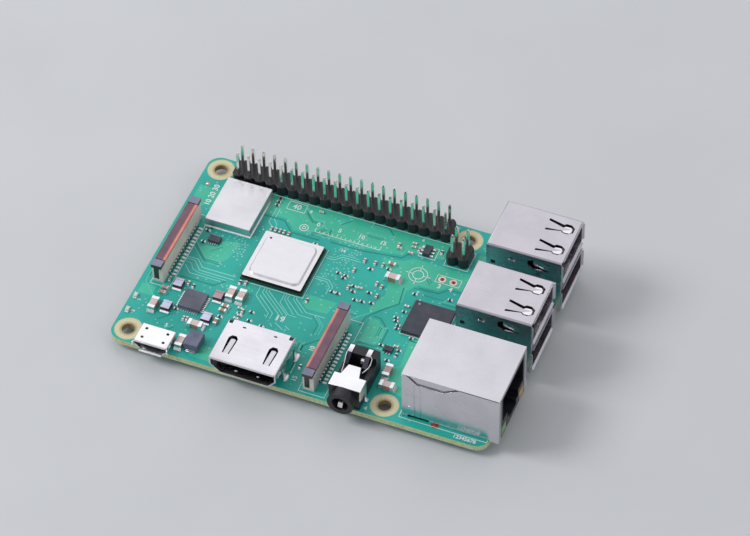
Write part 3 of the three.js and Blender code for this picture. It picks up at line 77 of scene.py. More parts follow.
class Finish:
    """A principled material and short calls for the nodes that feed it."""

    def __init__(self, name, **sockets):
        self.material = bpy.data.materials.new(name)
        self.material.use_nodes = True
        self.tree = self.material.node_tree
        self.shader = self.tree.nodes["Principled BSDF"]
        self.place = self.node("ShaderNodeTexCoord").outputs["Object"]
        for socket, value in sockets.items():
            self.set(self.shader.inputs[socket.replace("_", " ")], value)

    def node(self, kind, **settings):
        made = self.tree.nodes.new(kind)
        for key, value in settings.items():
            setattr(made, key, value)
        return made

    def set(self, socket, value):
        if isinstance(value, bpy.types.NodeSocket):
            self.tree.links.new(value, socket)
        elif socket.type == "RGBA":
            socket.default_value = (*value, 1.0)
        else:
            socket.default_value = value

    def feed(self, socket, value):
        self.set(self.shader.inputs[socket], value)

    def noise(self, grain, detail=3.0, stretch=None):
        """Noise whose blobs are about grain millimetres across."""
        made = self.node("ShaderNodeTexNoise")
        place = self.place
        if stretch:
            mapping = self.node("ShaderNodeMapping")
            self.set(mapping.inputs["Vector"], place)
            self.set(mapping.inputs["Scale"], stretch)
            place = mapping.outputs["Vector"]
        for socket, value in (("Vector", place), ("Scale", 1 / (grain * MM)), ("Detail", detail)):
            self.set(made.inputs[socket], value)
        return made.outputs["Fac"]

    def ramp(self, value, *stops):
        """Two colours, each from its own place on, with a blend between them."""
        made = self.node("ShaderNodeValToRGB")
        for element, (place, colour) in zip(made.color_ramp.elements, stops):
            element.position = place
            element.color = (*colour, 1.0)
        self.set(made.inputs["Fac"], value)
        return made.outputs["Color"]

    def span(self, value, low, high, to_low, to_high):
        """Value moved from one range to another, and kept inside it."""
        made = self.node("ShaderNodeMapRange")
        sockets = ("Value", "From Min", "From Max", "To Min", "To Max")
        for socket, number in zip(sockets, (value, low, high, to_low, to_high)):
            self.set(made.inputs[socket], number)
        return made.outputs["Result"]

    def mix(self, share, first, second):
        made = self.node("ShaderNodeMix", data_type="RGBA")
        for socket, value in (("Factor", share), ("A", first), ("B", second)):
            self.set(made.inputs[socket], value)
        return made.outputs["Result"]

    def maths(self, operation, first, second=0.0):
        made = self.node("ShaderNodeMath", operation=operation)
        self.set(made.inputs[0], first)
        self.set(made.inputs[1], second)
        return made.outputs["Value"]

    def axis(self, name):
        """The place along one axis, in millimetres of the board's frame."""
        split = self.node("ShaderNodeSeparateXYZ")
        self.set(split.inputs["Vector"], self.place)
        scaled = self.maths("MULTIPLY", split.outputs[name], 1 / MM)
        return self.maths("SUBTRACT", scaled, getattr(ORIGIN, name.lower()) / MM)

    def facing(self, name):
        """How far the surface faces along one axis, from -1 to 1."""
        split = self.node("ShaderNodeSeparateXYZ")
        self.set(split.inputs["Vector"], self.node("ShaderNodeNewGeometry").outputs["True Normal"])
        return split.outputs[name]

    def bump(self, height, depth):
        made = self.node("ShaderNodeBump")
        made.inputs["Distance"].default_value = depth * MM
        self.set(made.inputs["Height"], height)
        self.feed("Normal", made.outputs["Normal"])


def mask(name, dark, light, roughness):
    """Lacquer over copper and laminate: tone in soft clouds, with a faint weave under it."""
    made = Finish(name, Roughness=roughness, Specular_IOR_Level=0.35, Coat_Weight=0.1, Coat_Roughness=0.1)
    weave = made.noise(0.35, 2.0)
    tone = made.ramp(made.noise(11.0, 2.0), (0.32, dark), (0.68, light))
    made.feed("Base Color", made.mix(made.span(weave, 0.3, 0.7, 0.0, 0.3), tone, light))
    made.bump(weave, 0.006)
    return made


def board_finish():
    """Mask on the faces, and laminate on the cut edges and the bare rings round the four holes."""
    made = mask("solder_mask", (0.006, 0.325, 0.275), (0.02, 0.445, 0.365), 0.34)
    tone = made.shader.inputs["Base Color"].links[0].from_socket
    x, y = made.axis("X"), made.axis("Y")
    nearest = None
    for hole_x, hole_y in HOLES:
        squares = []
        for place, centre in ((x, hole_x), (y, hole_y)):
            off = made.maths("SUBTRACT", place, centre)
            squares.append(made.maths("MULTIPLY", off, off))
        away = made.maths("SQRT", made.maths("ADD", *squares))
        nearest = away if nearest is None else made.maths("MINIMUM", nearest, away)
    ring = made.span(nearest, RING_INSIDE, RING_OUTSIDE, 1.0, 0.0)
    rim = made.span(nearest, RIM_INSIDE, RIM_OUTSIDE, 0.85, 0.0)
    laminate = made.ramp(made.noise(0.25, 4.0), (0.3, (0.56, 0.51, 0.3)), (0.7, (0.72, 0.68, 0.45)))
    cut = made.ramp(made.noise(0.5, 3.0), (0.35, (0.42, 0.5, 0.24)), (0.7, (0.62, 0.7, 0.42)))
    side = made.maths("LESS_THAN", made.maths("ABSOLUTE", made.facing("Z")), 0.5)
    with_edges = made.mix(side, made.mix(ring, tone, laminate), cut)
    made.feed("Base Color", made.mix(rim, with_edges, (0.3, 0.19, 0.08)))
    return made.material


def metal(name, colour, dull, roughness, grain=1.5, bump=0.0015):
    """Plated sheet: cloudy tone, faint rolling lines and tiny dents."""
    made = Finish(name, Metallic=1.0)
    cloud = made.noise(grain * 4, 3.0)
    made.feed("Base Color", made.ramp(cloud, (0.25, dull), (0.65, colour)))
    lines = made.noise(grain, 3.0, stretch=(0.3, 2.0, 1.0))
    made.feed("Roughness", made.span(lines, 0.3, 0.7, roughness * 0.85, roughness * 1.2))
    made.bump(made.maths("ADD", lines, cloud), bump)
    return made.material


def plastic(name, dark, light, roughness, grain=0.12, bump=0.01, **sockets):
    """Moulded plastic: a fine grain, with tone that drifts a little."""
    made = Finish(name, **sockets)
    fine = made.noise(grain, 2.0)
    made.feed("Base Color", made.ramp(made.noise(2.5, 3.0), (0.3, dark), (0.7, light)))
    made.feed("Roughness", made.span(fine, 0.3, 0.7, roughness * 0.85, roughness * 1.2))
    made.bump(fine, bump)
    return made.material


def lens(name, dark, light, roughness=0.18, clear=0.35):
    """Clear tinted plastic, with a smoother skin than moulded parts have."""
    return plastic(name, dark, light, roughness, 0.4, 0.003, Transmission_Weight=clear, IOR=1.5)


# Mask over laminate, copper, tracks and gaps
MASK = board_finish()
COPPER = mask("mask_over_copper", (0.05, 0.49, 0.4), (0.11, 0.59, 0.49), 0.28).material
TRACE = mask("mask_over_trace", (0.15, 0.57, 0.49), (0.27, 0.68, 0.6), 0.28).material
POUR = mask("mask_over_pour", (0.03, 0.44, 0.28), (0.06, 0.53, 0.36), 0.3).material
CHANNEL = mask("mask_over_gap", (0.002, 0.19, 0.15), (0.006, 0.26, 0.2), 0.34).material
VIA = mask("via_ring", (0.16, 0.55, 0.45), (0.34, 0.68, 0.6), 0.3).material
SUBSTRATE = mask("substrate_mask", (0.008, 0.04, 0.03), (0.02, 0.07, 0.05), 0.35).material
# Metals
TIN = metal("tinned_sheet", (0.78, 0.76, 0.8), (0.7, 0.68, 0.72), 0.24)
# A paler copy of the tin: painted highlight, where the same plating faces the light.
HIGHLIGHT_TIN = metal("tin_painted_highlight", (0.95, 0.95, 0.96), (0.88, 0.88, 0.9), 0.3)
SATIN_TIN = metal("satin_sheet", (0.78, 0.77, 0.8), (0.7, 0.69, 0.72), 0.38)
# Darker copies of the tin for the USB stacks and the network jack: painted shade, a darker painted reflection
# on their walls.
USB_SHADED_TIN = metal("usb_sheet_painted_shade", (0.67, 0.64, 0.69), (0.6, 0.57, 0.62), 0.24)
JACK_SHADED_TIN = metal("jack_sheet_painted_shade", (0.72, 0.705, 0.745), (0.65, 0.63, 0.67), 0.24)
# A dark copy of the tin: painted shade, for contacts and leads that slope away from the light.
SHADE_TIN = metal("tin_painted_shade", (0.1, 0.1, 0.13), (0.05, 0.05, 0.07), 0.3)
# A dark copy of the lid's nickel: painted shade for the lid's upright sides.
LID_SIDE_SHADE = metal("lid_side_painted_shade", (0.09, 0.075, 0.06), (0.04, 0.035, 0.03), 0.55, 0.3, 0.004)
NICKEL = metal("nickel_lid", (0.84, 0.825, 0.85), (0.81, 0.795, 0.82), 0.4, 0.6, 0.001)
SOLDER = metal("solder", (0.93, 0.93, 0.94), (0.78, 0.78, 0.8), 0.3, 0.3, 0.008)
PIN = metal("pin_plating", (0.96, 0.94, 0.88), (0.86, 0.84, 0.78), 0.16, 0.5)
GOLD = metal("contact_plating", (0.83, 0.62, 0.26), (0.74, 0.53, 0.2), 0.25, 0.5)
COPPER_BARE = metal("bare_pad", (0.9, 0.62, 0.55), (0.8, 0.52, 0.45), 0.4, 0.5)
# Plastics, resins, ceramics and ink
BLACK = plastic("black_moulding", (0.006, 0.006, 0.009), (0.016, 0.014, 0.021), 0.34)
BEIGE = plastic("beige_moulding", (0.66, 0.62, 0.55), (0.76, 0.72, 0.65), 0.5)
RESIN = plastic("chip_resin", (0.034, 0.037, 0.055), (0.058, 0.062, 0.088), 0.45, 0.1, 0.008)
PALE_RESIN = plastic("pale_resin", (0.08, 0.088, 0.125), (0.12, 0.13, 0.175), 0.4, 0.1, 0.008)
ABSORBER = plastic("absorber_resin", (0.1, 0.105, 0.17), (0.17, 0.175, 0.27), 0.45)
CERAMIC = plastic("ceramic", (0.34, 0.18, 0.13), (0.48, 0.28, 0.22), 0.4, 0.1, 0.008)
# The capacitors' tops: their brown painted lighter, as a painted highlight.
CERAMIC_LIT_TOP = plastic("ceramic_painted_lit_top", (0.58, 0.45, 0.43), (0.7, 0.56, 0.54), 0.35, 0.1, 0.008)
CERAMIC_PALE = plastic("pale_ceramic", (0.45, 0.38, 0.31), (0.6, 0.53, 0.45), 0.4, 0.1, 0.008)
CERAMIC_DARK = plastic("resistor_glaze", (0.012, 0.012, 0.014), (0.03, 0.028, 0.03), 0.35, 0.1, 0.006)
FERRITE = plastic("ferrite", (0.56, 0.56, 0.73), (0.68, 0.68, 0.86), 0.5, 0.1, 0.01)
# The coils' sides, painted dark as shade under their paler tops.
FERRITE_SHADED_SIDE = plastic("ferrite_painted_shade", (0.035, 0.025, 0.045), (0.07, 0.055, 0.085), 0.45, 0.1, 0.01)
CORE = plastic("moulded_core", (0.42, 0.26, 0.3), (0.54, 0.35, 0.39), 0.5, 0.1, 0.01)
WHITE_CERAMIC = plastic("lamp_base", (0.72, 0.74, 0.72), (0.85, 0.86, 0.84), 0.35)
# Copper's own red, darkened with painted shade, as inside plated bores.
SHADED_COPPER = plastic("plated_bore_painted_shade", (0.2, 0.035, 0.015), (0.34, 0.07, 0.03), 0.5)
SILK = plastic("silkscreen_ink", (0.68, 0.71, 0.7), (0.8, 0.82, 0.81), 0.6, 0.2, 0.004)
LENS_GREEN = lens("green_lens", (0.12, 0.42, 0.08), (0.2, 0.55, 0.13))
LENS_AMBER = lens("amber_lens", (0.62, 0.3, 0.03), (0.75, 0.4, 0.06))
CLEAR_LENS = lens("clear_lens", (0.8, 0.82, 0.8), (0.9, 0.92, 0.9), 0.15, 0.3)

# Mesh building

TURNS = {"x": lambda u, v, w: (w, u, v), "y": lambda u, v, w: (v, w, u), "z": lambda u, v, w: (u, v, w)}
LEAST_MITRE = 0.35


def circle(x, y, radius_x, radius_y, z, sides):
    angles = [2 * math.pi * i / sides for i in range(sides)]
    return [(x + radius_x * math.cos(angle), y + radius_y * math.sin(angle), z) for angle in angles]


class Shape:
    """Collects closed bodies in the board's frame, then becomes one piece."""

    def __init__(self):
        self.points, self.faces, self.slots, self.smooth = [], [], [], []

    def add(self, points, faces, slot=0, smooth=False, move=None):
        first = len(self.points)
        self.points += [move @ Vector(p) if move else Vector(p) for p in points]
        for face in faces:
            self.faces.append([first + i for i in face])
            self.slots.append(slot)
            self.smooth.append(smooth)

    def loft(self, rings, slot=0, smooth=False, move=None, closed=False):
        """Rings of points joined in turn, between flat ends or closed round on themselves."""
        sides, count = len(rings[0]), len(rings)
        last = (count - 1) * sides
        faces = [] if closed else [list(range(sides))[::-1], list(range(last, last + sides))]
        for ring in range(count if closed else count - 1):
            low, high = ring * sides, (ring + 1) % count * sides
            for a, b in zip(range(sides), [*range(1, sides), 0]):
                faces.append([low + a, low + b, high + b, high + a])
        self.add([p for ring in rings for p in ring], faces, slot, smooth, move)

    def prism(self, outline, low, high, slot=0, axis="z", move=None, top=None):
        """An outline pushed from low to high along an axis. Top is the far outline, if it differs."""
        area = sum(a[0] * b[1] - b[0] * a[1] for a, b in zip(outline, outline[1:] + outline[:1]))
        way = -1 if area < 0 else 1
        ends = ((outline[::way], low), ((top or outline)[::way], high))
        self.loft([[TURNS[axis](u, v, w) for u, v in ring] for ring, w in ends], slot, move=move)

    def block(self, x0, x1, y0, y1, z0, z1, slot=0, move=None):
        self.prism([(x0, y0), (x1, y0), (x1, y1), (x0, y1)], z0, z1, slot, move=move)

    def turned(self, x, y, profile, slot=0, sides=16, move=None):
        """A round body whose profile is given as (radius, z) from bottom to top."""
        self.loft([circle(x, y, radius, radius, z, sides) for radius, z in profile], slot, True, move)

    def ring(self, x, y, outer, inner, z0, z1, slot=0, sides=16):
        corners = ((outer, z0), (outer, z1), (inner, z1), (inner, z0))
        self.loft([circle(x, y, radius, radius, z, sides) for radius, z in corners], slot, closed=True)

    def ribbon(self, path, width, z0, z1, slot=0, closed=False, move=None):
        """A flat strip along a path, with mitred corners."""
        places = [Vector(p) for p in path]
        legs = [(after - place).normalized() for place, after in zip(places, places[1:] + places[:1])]
        sides = []
        for i, place in enumerate(places):
            ahead = legs[i] if closed or i < len(legs) - 1 else legs[i - 1]
            back = legs[i - 1] if closed or i else ahead
            along = (back + ahead).normalized()
            across = Vector((-along.y, along.x)) / max(LEAST_MITRE, along.dot(ahead))
            sides.append(((place + across * width / 2)[:], (place - across * width / 2)[:]))
        for (a, b), (d, c) in list(zip(sides, sides[1:] + sides[:1]))[:None if closed else -1]:
            self.prism([a, b, c, d], z0, z1, slot, move=move)

    def blade(self, path, width, height):
        """A thin upright strip that follows a path through space."""
        rings = []
        for before, place, after in zip(path[:1] + path, path, path[1:] + path[-1:]):
            along = (Vector(after) - Vector(before)).normalized()
            across = Vector((-along.y, along.x, 0)).normalized() * width / 2
            rise = Vector((0, 0, height / 2))
            rings.append([Vector(place) + u * across + v * rise for u, v in SQUARE])
        self.loft(rings)

    def piece(self, name, materials, body="root", slot=None, bevel=0.0, replaces=()):
        """Puts the collected bodies in the scene as one piece."""
        mesh = bpy.data.meshes.new(name)
        mesh.from_pydata([ORIGIN + p * MM for p in self.points], [], self.faces)
        for material in materials:
            mesh.materials.append(material)
        for face, index, smooth in zip(mesh.polygons, self.slots, self.smooth):
            face.material_index = index
            face.use_smooth = smooth
        mesh.update()
        made = in_scene(name, mesh)
        if bevel:
            soften(made, bevel)
        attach(made, body)
        if replaces:
            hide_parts(*replaces)


SHARP = math.radians(35)
FLAT = math.radians(1.5)
FOLD_AREA = 8.0
WELD = 0.002
FOLD_STEPS, EDGE_STEPS = 3, 2


def soften(made, width, folds=0.0, clamp=True):
    """Rounds the marked folds first, then breaks every other sharp edge."""
    kinds = (("folds", "WEIGHT", folds, FOLD_STEPS), ("edges", "ANGLE", width, EDGE_STEPS))
    for name, limit, size, steps in kinds:
        if size:
            bevel = made.modifiers.new(name, "BEVEL")
            bevel.width = size * MM
            bevel.segments = steps
            bevel.limit_method = limit
            bevel.angle_limit = SHARP
            bevel.use_clamp_overlap = clamp and limit == "ANGLE"
    made.modifiers.new("normals", "WEIGHTED_NORMAL").keep_sharp = True


def mark_folds(grid, plain):
    """Keeps sharp edges sharp, and gives those between two large faces a fold, except where plain says so."""
    fold = grid.edges.layers.float.new("bevel_weight_edge")
    for edge in grid.edges:
        if len(edge.link_faces) != 2 or edge.calc_face_angle(0) <= SHARP:
            continue
        edge.smooth = False
        middle = ((edge.verts[0].co + edge.verts[1].co) / 2 - ORIGIN) / MM
        if edge.is_convex and min(f.calc_area() for f in edge.link_faces) > FOLD_AREA * MM * MM:
            edge[fold] = 0.0 if plain and plain(middle) else 1.0


def dressed(node, materials, pick=None, bevel=0.05, body="root", folds=0.0, clamp=True, bend=None,
            split=None, plain=None):
    """A copy of a CAD node with clean faces, softened edges and materials picked face by face.

    Pick gives a face's material from its centre and normal. Split cuts the faces at one x, and bend
    then moves the points. Folds is the radius of the large folds, and plain tells which stay sharp.
    """
    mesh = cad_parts[node].data.copy()
    grid = bmesh.new()
    grid.from_mesh(mesh)
    bmesh.ops.remove_doubles(grid, verts=grid.verts, dist=WELD * MM)
    if split:
        bmesh.ops.bisect_plane(grid, geom=[*grid.verts, *grid.edges, *grid.faces], dist=WELD * MM / 2,
                               plane_co=ORIGIN + Vector((split, 0, 0)) * MM, plane_no=(1, 0, 0))
    if bend:
        for vertex in grid.verts:
            vertex.co = ORIGIN + bend((vertex.co - ORIGIN) / MM) * MM
    bmesh.ops.dissolve_limit(grid, angle_limit=FLAT, verts=grid.verts, edges=grid.edges)
    mark_folds(grid, plain)
    for face in grid.faces:
        face.smooth = True
        if pick:
            face.material_index = pick((face.calc_center_median() - ORIGIN) / MM, face.normal)
    mesh.materials.clear()
    for material in materials:
        mesh.materials.append(material)
    grid.to_mesh(mesh)
    grid.free()
    mesh.name = node + "_finished"
    made = in_scene(mesh.name, mesh)
    soften(made, bevel, folds, clamp)
    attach(made, body)
    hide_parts(node)


# Finished copies of the CAD nodes

SHEET_EDGE = 0.04
SHELLS = {
    "wireless_shield": (SATIN_TIN, 0.12),
    # The power socket's shell takes the paler tin: a painted highlight on its plating.
    "power_socket_shell": (HIGHLIGHT_TIN, 0.15),
    "video_port_shell": (TIN, 0.2),
    # The network jack's shell takes the darker tin: painted shade on its plating.
    "network_jack_shell": (JACK_SHADED_TIN, 0.0),
    "card_socket_shell": (TIN, 0.1),
}
for node, (finish, fold) in SHELLS.items():
    dressed(node, [finish], bevel=SHEET_EDGE if fold else SHEET_EDGE / 2, folds=fold)

# The fingers of a USB stack: places along X behind its mouth, and how far points move
USB_MOUTH = 86.5
TOP_ROOT, TOP_NECK, TOP_TIP = USB_MOUTH - 6.6, USB_MOUTH - 3.2, USB_MOUTH - 1.2
TOP_SPREAD, TOP_SHEET = 3.1, 13.9
SLOT_WIDER, HEAD_SLOPE = 0.25, 0.16
SIDE_ROOT, SIDE_TIP = USB_MOUTH - 2.6, USB_MOUTH - 7.0
SIDE_LIFT, SIDE_SHORTER, SIDE_PUSH = 0.45, 0.6, 0.35
PORT_MIDDLES = (3.9, 11.95)
FOLDS_FROM = 14


def finger_bend(middle):
    """Opens the slots round a stack's sprung fingers, and lifts the heads and the side ones a little."""
    def bend(p):
        along, across = p.x - TOP_ROOT, p.y - middle
        aside = abs(abs(across) - TOP_SPREAD)
        if p.z > TOP_SHEET and -0.4 < along < 0.4 and 1.3 < aside < 1.6:
            shift = math.copysign(SLOT_WIDER, TOP_SPREAD - abs(across)) * math.copysign(1, across)
            p = Vector((p.x, p.y + shift, p.z))
        elif p.z > TOP_SHEET and TOP_NECK + 0.1 < p.x < TOP_TIP + 0.1 and aside < 1.0:
            p = Vector((p.x, p.y, p.z + HEAD_SLOPE * (p.x - TOP_NECK)))
        for port, lift in zip(PORT_MIDDLES, (0, SIDE_LIFT)):
            if abs(across) > 5.9 and abs(p.z - port) < 1.4 and SIDE_TIP - 0.7 < p.x < SIDE_ROOT + 0.4:
                p = p + Vector((0, 0, lift))
                if SIDE_TIP - 0.2 < p.x < SIDE_TIP + 1.3 and abs(p.z - port - lift) < 0.9:
                    p = p + Vector((SIDE_SHORTER, -math.copysign(SIDE_PUSH, across), 0))
        return p
    return bend


# The up-facing tops of the finger heads take the paler tin: a painted highlight where the bent heads catch
# the light.
def finger_head_highlight(middle):
    def pick(centre, normal):
        aside = abs(abs(centre.y - middle) - TOP_SPREAD)
        return int(centre.z > 14.3 and normal.z > 0.5 and TOP_NECK < centre.x < TOP_TIP and aside < 0.88)
    return pick


# The USB shells' sheet is the darker tin of painted shade, and the finger heads the paler tin of painted
# highlight.
for node in ("rear_usb_shell", "front_usb_shell"):
    low, high = box_mm(node)
    middle = (low.y + high.y) / 2
    dressed(node, [USB_SHADED_TIN, HIGHLIGHT_TIN], finger_head_highlight(middle), SHEET_EDGE, folds=0.4,
            bend=finger_bend(middle), split=TOP_NECK, plain=lambda p: p.z < FOLDS_FROM)
# The arms that reach down to the plug are painted dark as shade, and the plated parts on top and the front
# contact take the paler tin of a painted highlight.
ARMS_START = box_mm("audio_jack_housing")[1].y - 2.35
dressed("audio_jack_front_contact", [HIGHLIGHT_TIN], bevel=SHEET_EDGE)
for side in ("left", "right"):
    dressed(f"audio_jack_{side}_contact", [HIGHLIGHT_TIN, SHADE_TIN],
            lambda c, n: int(c.y < ARMS_START), SHEET_EDGE)
for node in ("network_hub_chip", "clock_crystal", "switch_chip", "filter_chip", "memory_chip"):
    dressed(node, [RESIN])
dressed("power_chip", [PALE_RESIN])
dressed("processor_substrate", [SUBSTRATE], bevel=0.03)
FLANGE_TOP = 1.25
# The lid's upright sides below the flange top are painted dark, as shade.
dressed("processor_heat_spreader", [NICKEL, LID_SIDE_SHADE],
        lambda c, n: int(abs(n.z) < 0.3 and c.z < FLANGE_TOP), 0.1)
for node in ("power_socket_tongue", "audio_jack_housing"):
    dressed(node, [BLACK], bevel=0.06)
dressed("circuit_board", [MASK], clamp=False)
for node, finish in (("wireless_chip", RESIN), ("wireless_crystal", TIN)):
    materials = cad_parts[node].data.materials
    materials.clear()
    materials.append(finish)

# Mouldings whose contacts are told from them by their place
JACK_LOW, JACK_HIGH = box_mm("network_jack_shell")
JACK_MIDDLE = (JACK_LOW.y + JACK_HIGH.y) / 2
VIDEO_BACK = box_mm("video_port_shell")[1].y


def in_jack_row(c):
    return 9.3 < c.z < 11.95 and 73.8 < c.x < 86 and abs(c.y - JACK_MIDDLE) < 4.1


def in_usb_row(c):
    return 3.66 < c.z < 3.9 or 11.96 < c.z < 12.2 or c.z < -0.05


CONTACTS = {
    "network_jack_insert": (GOLD, in_jack_row),
    "rear_usb_insert": (GOLD, in_usb_row),
    "front_usb_insert": (GOLD, in_usb_row),
    "video_port_insert": (TIN, lambda c: c.y > VIDEO_BACK + 0.02),
    "card_socket_tray": (GOLD, lambda c: c.z < -1.87),
}
for node, (finish, test) in CONTACTS.items():
    dressed(node, [BLACK, finish], lambda c, n, test=test: int(test(c)), 0.03)

# Parts with two ends: solder on the ends, and a body whose top is painted lighter than its sides, a painted
# highlight where the light falls
CAPACITORS = [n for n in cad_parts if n.startswith("capacitor_") or n == "input_capacitor"]
COILS = [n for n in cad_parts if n.startswith("coil_")]
END_SHARE = 0.24
UPWARD = 0.7


def terminal_pick(node):
    low, high = box_mm(node)
    middle, size = (low + high) / 2, high - low
    long_way = 0 if size.x > size.y else 1

    def pick(centre, normal):
        along = abs(centre[long_way] - middle[long_way]) / size[long_way]
        if along > 0.5 - END_SHARE + 0.01:
            return 0
        return 2 if normal.z > UPWARD else 1
    return pick


for node in CAPACITORS:
    dressed(node, [SOLDER, CERAMIC, CERAMIC_LIT_TOP], terminal_pick(node), 0.1)
# Coil sides take a dark tone of painted shade, and the tops a paler one.
for node in COILS:
    top = CORE if node == "coil_d" else FERRITE
    dressed(node, [FERRITE_SHADED_SIDE, top], lambda c, n: int(n.z > UPWARD), 0.08)
dressed("surge_absorber", [TIN, ABSORBER], lambda c, n: int(c.z > 0.31), 0.08)
for node in ("power_light", "activity_light"):
    dressed(node, [WHITE_CERAMIC, CLEAR_LENS], lambda c, n: int(c.z > 0.27), 0.04)
dressed("network_light_left", [LENS_GREEN])
dressed("network_light_right", [LENS_AMBER])

# Ribbon connectors

RIBBONS = {"display": 1, "camera": -1}
CAP_HALF_LENGTH = 8.55
HOUSING_WIDTH = 2.51


def latch_finish(side, middle, edge):
    """Brown see-through plastic with painted light: a painted glow along one edge of the cap, and a painted
    grey sheen on top of its two near-black heads.
    """
    made = Finish("latch_" + side, Roughness=0.3, Coat_Weight=0.5, Coat_Roughness=0.25)
    x, y = made.axis("X"), made.axis("Y")
    across = made.maths("MULTIPLY", made.maths("SUBTRACT", x, middle.x), edge)
    # A painted glow along one edge of the cap, where light comes through it.
    glow_share = made.span(across, 0.5, 0.8, 0.0, 1.0)
    along = made.maths("ABSOLUTE", made.maths("SUBTRACT", y, middle.y))
    head = made.maths("GREATER_THAN", along, CAP_HALF_LENGTH + 0.05)
    cloud = made.noise(3.0, 3.0)
    brown = made.ramp(cloud, (0.3, (0.1, 0.035, 0.07)), (0.7, (0.18, 0.06, 0.1)))
    painted_glow = made.ramp(cloud, (0.3, (0.62, 0.15, 0.11)), (0.7, (0.78, 0.27, 0.19)))
    # A painted grey sheen on the tops of the heads, whose sides stay near black.
    head_painted_sheen = made.ramp(cloud, (0.3, (0.15, 0.155, 0.23)), (0.7, (0.22, 0.225, 0.33)))
    flat = made.span(made.facing("Z"), 0.3, 0.8, 0.0, 1.0)
    head_sheen_tone = made.mix(flat, (0.01, 0.009, 0.012), head_painted_sheen)
    made.feed("Base Color", made.mix(head, made.mix(glow_share, brown, painted_glow), head_sheen_tone))
    made.bump(made.noise(0.2, 2.0), 0.008)
    return made.material


for side, edge in RIBBONS.items():
    housing, latch = side + "_ribbon_housing", side + "_ribbon_latch"
    low, high = box_mm(latch)
    wall = box_mm(housing)[0].x + HOUSING_WIDTH
    # The leads are painted: a painted highlight where they lie flat and painted shade where they slope.
    dressed(housing, [BEIGE, HIGHLIGHT_TIN, SHADE_TIN], bevel=0.04,
            pick=lambda c, n, wall=wall: 0 if c.x < wall else 2 if abs(n.x) > 0.3 and abs(n.z) > 0.3 else 1)
    finish = latch_finish(side, (low + high) / 2, edge)
    dressed(latch, [finish], bevel=0.07, body=side + "_latch")

# Pin headers: a beaded base and one piece of pins each

PIN_PITCH = 2.54
PIN_HALF = 0.32
PIN_TIP_HALF = 0.13
PIN_TOP = 8.5
PIN_TIP = 0.5
BASE_TOP = 2.54
BEAD_NOTCH = 0.7
TAIL_END = BOARD_BOTTOM - 1.6


def header(node, name):
    """A base with a notch between every two columns, and two rows of pins with tapered tips."""
    low, high = box_mm(node)
    middle_x, middle_y = (low.x + high.x) / 2, (low.y + high.y) / 2
    columns = round((high.x - low.x) / PIN_PITCH)
    left = middle_x - columns * PIN_PITCH / 2
    outline = []
    for side in (-1, 1):
        out, notch = middle_y + side * PIN_PITCH, middle_y + side * (PIN_PITCH - BEAD_NOTCH)
        edge = [(left, notch)]
        for column in range(columns):
            start, end = left + column * PIN_PITCH, left + (column + 1) * PIN_PITCH
            edge += [(start + BEAD_NOTCH, out), (end - BEAD_NOTCH, out), (end, notch)]
        outline += edge[::-side]
    base, pins = Shape(), Shape()
    base.prism(outline, 0.0, BASE_TOP)
    stations = ((PIN_TIP_HALF, TAIL_END), (PIN_HALF, TAIL_END + PIN_TIP),
                (PIN_HALF, PIN_TOP - PIN_TIP), (PIN_TIP_HALF, PIN_TOP))
    for column in range(columns):
        for row in (-0.5, 0.5):
            x, y = left + (column + 0.5) * PIN_PITCH, middle_y + row * PIN_PITCH
            pins.loft([[(x + u * half, y + v * half, z) for u, v in SQUARE] for half, z in stations])
    base.piece(name + "_base", [BLACK], slot="black_moulding", bevel=0.2, replaces=(node,))
    pins.piece(name + "_pins", [PIN], bevel=0.07)


header("pin_header", "header")
header("small_pin_header", "small_header")

# Small parts soldered to the board: finish, way, length, width, height and places

TINY, SMALL = (1.0, 0.52), (1.6, 0.82)
SMALL_PARTS = {
    "tiny_brown": (CERAMIC, "y", *TINY, 0.5, [
        (42.84, 38.92), (45.19, 39.01), (41.7, 35.58), (46.94, 39.13), (47.68, 33.72), (48.95, 33.21),
        (42.39, 30.62), (48.91, 30.48), (48.01, 45.69), (52.63, 45.93), (20.66, 40.2), (21.7, 40.2),
        (22.66, 40.2), (23.58, 40.2), (24.75, 40.1), (24.12, 16.34), (6.12, 19.28), (10.34, 19.53),
        (13.29, 10.1), (14.0, 10.2), (21.64, 23.91)]),
    "tiny_dark": (CERAMIC_DARK, "x", *TINY, 0.38, [
        (44.88, 37.11), (38.91, 33.68), (40.72, 33.47), (40.41, 32.71), (48.45, 38.49), (43.35, 31.35),
        (43.72, 29.92), (39.64, 28.26), (40.95, 28.25), (47.1, 30.83), (44.99, 27.85), (46.61, 27.97),
        (48.61, 28.26), (56.27, 33.9), (56.0, 28.5), (54.95, 26.4), (55.3, 25.5), (56.2, 24.5), (56.25, 23.6),
        (63.83, 35.03), (19.11, 49.13), (19.14, 48.05), (19.14, 47.04), (31.16, 39.5), (26.02, 16.82),
        (26.44, 14.49), (29.45, 13.92), (10.71, 12.0), (20.21, 13.3), (23.64, 15.49), (8.04, 34.94),
        (8.42, 31.59), (54.82, 18.21), (58.9, 18.09), (57.54, 14.74), (60.06, 22.1)]),
    "tiny_dark_turned": (CERAMIC_DARK, "y", *TINY, 0.38, [
        (57.35, 47.07), (35.62, 24.1), (20.4, 23.7), (11.55, 19.17), (58.77, 16.67), (41.3, 6.7)]),
    "tiny_pale": (CERAMIC_PALE, "x", *TINY, 0.5, [
        (44.81, 31.31), (55.97, 30.1), (48.44, 44.9), (51.15, 44.43), (51.05, 47.32), (51.24, 46.25),
        (24.0, 15.0), (28.95, 48.54), (23.33, 16.9), (23.59, 14.0), (57.98, 18.95), (67.5, 37.9)]),
    "brown": (CERAMIC, "x", *SMALL, 0.75, [
        (48.71, 39.97), (6.22, 16.43), (6.14, 15.1), (20.2, 16.2), (20.12, 14.95)]),
    "brown_turned": (CERAMIC, "y", *SMALL, 0.75, [(20.01, 11.59)]),
}
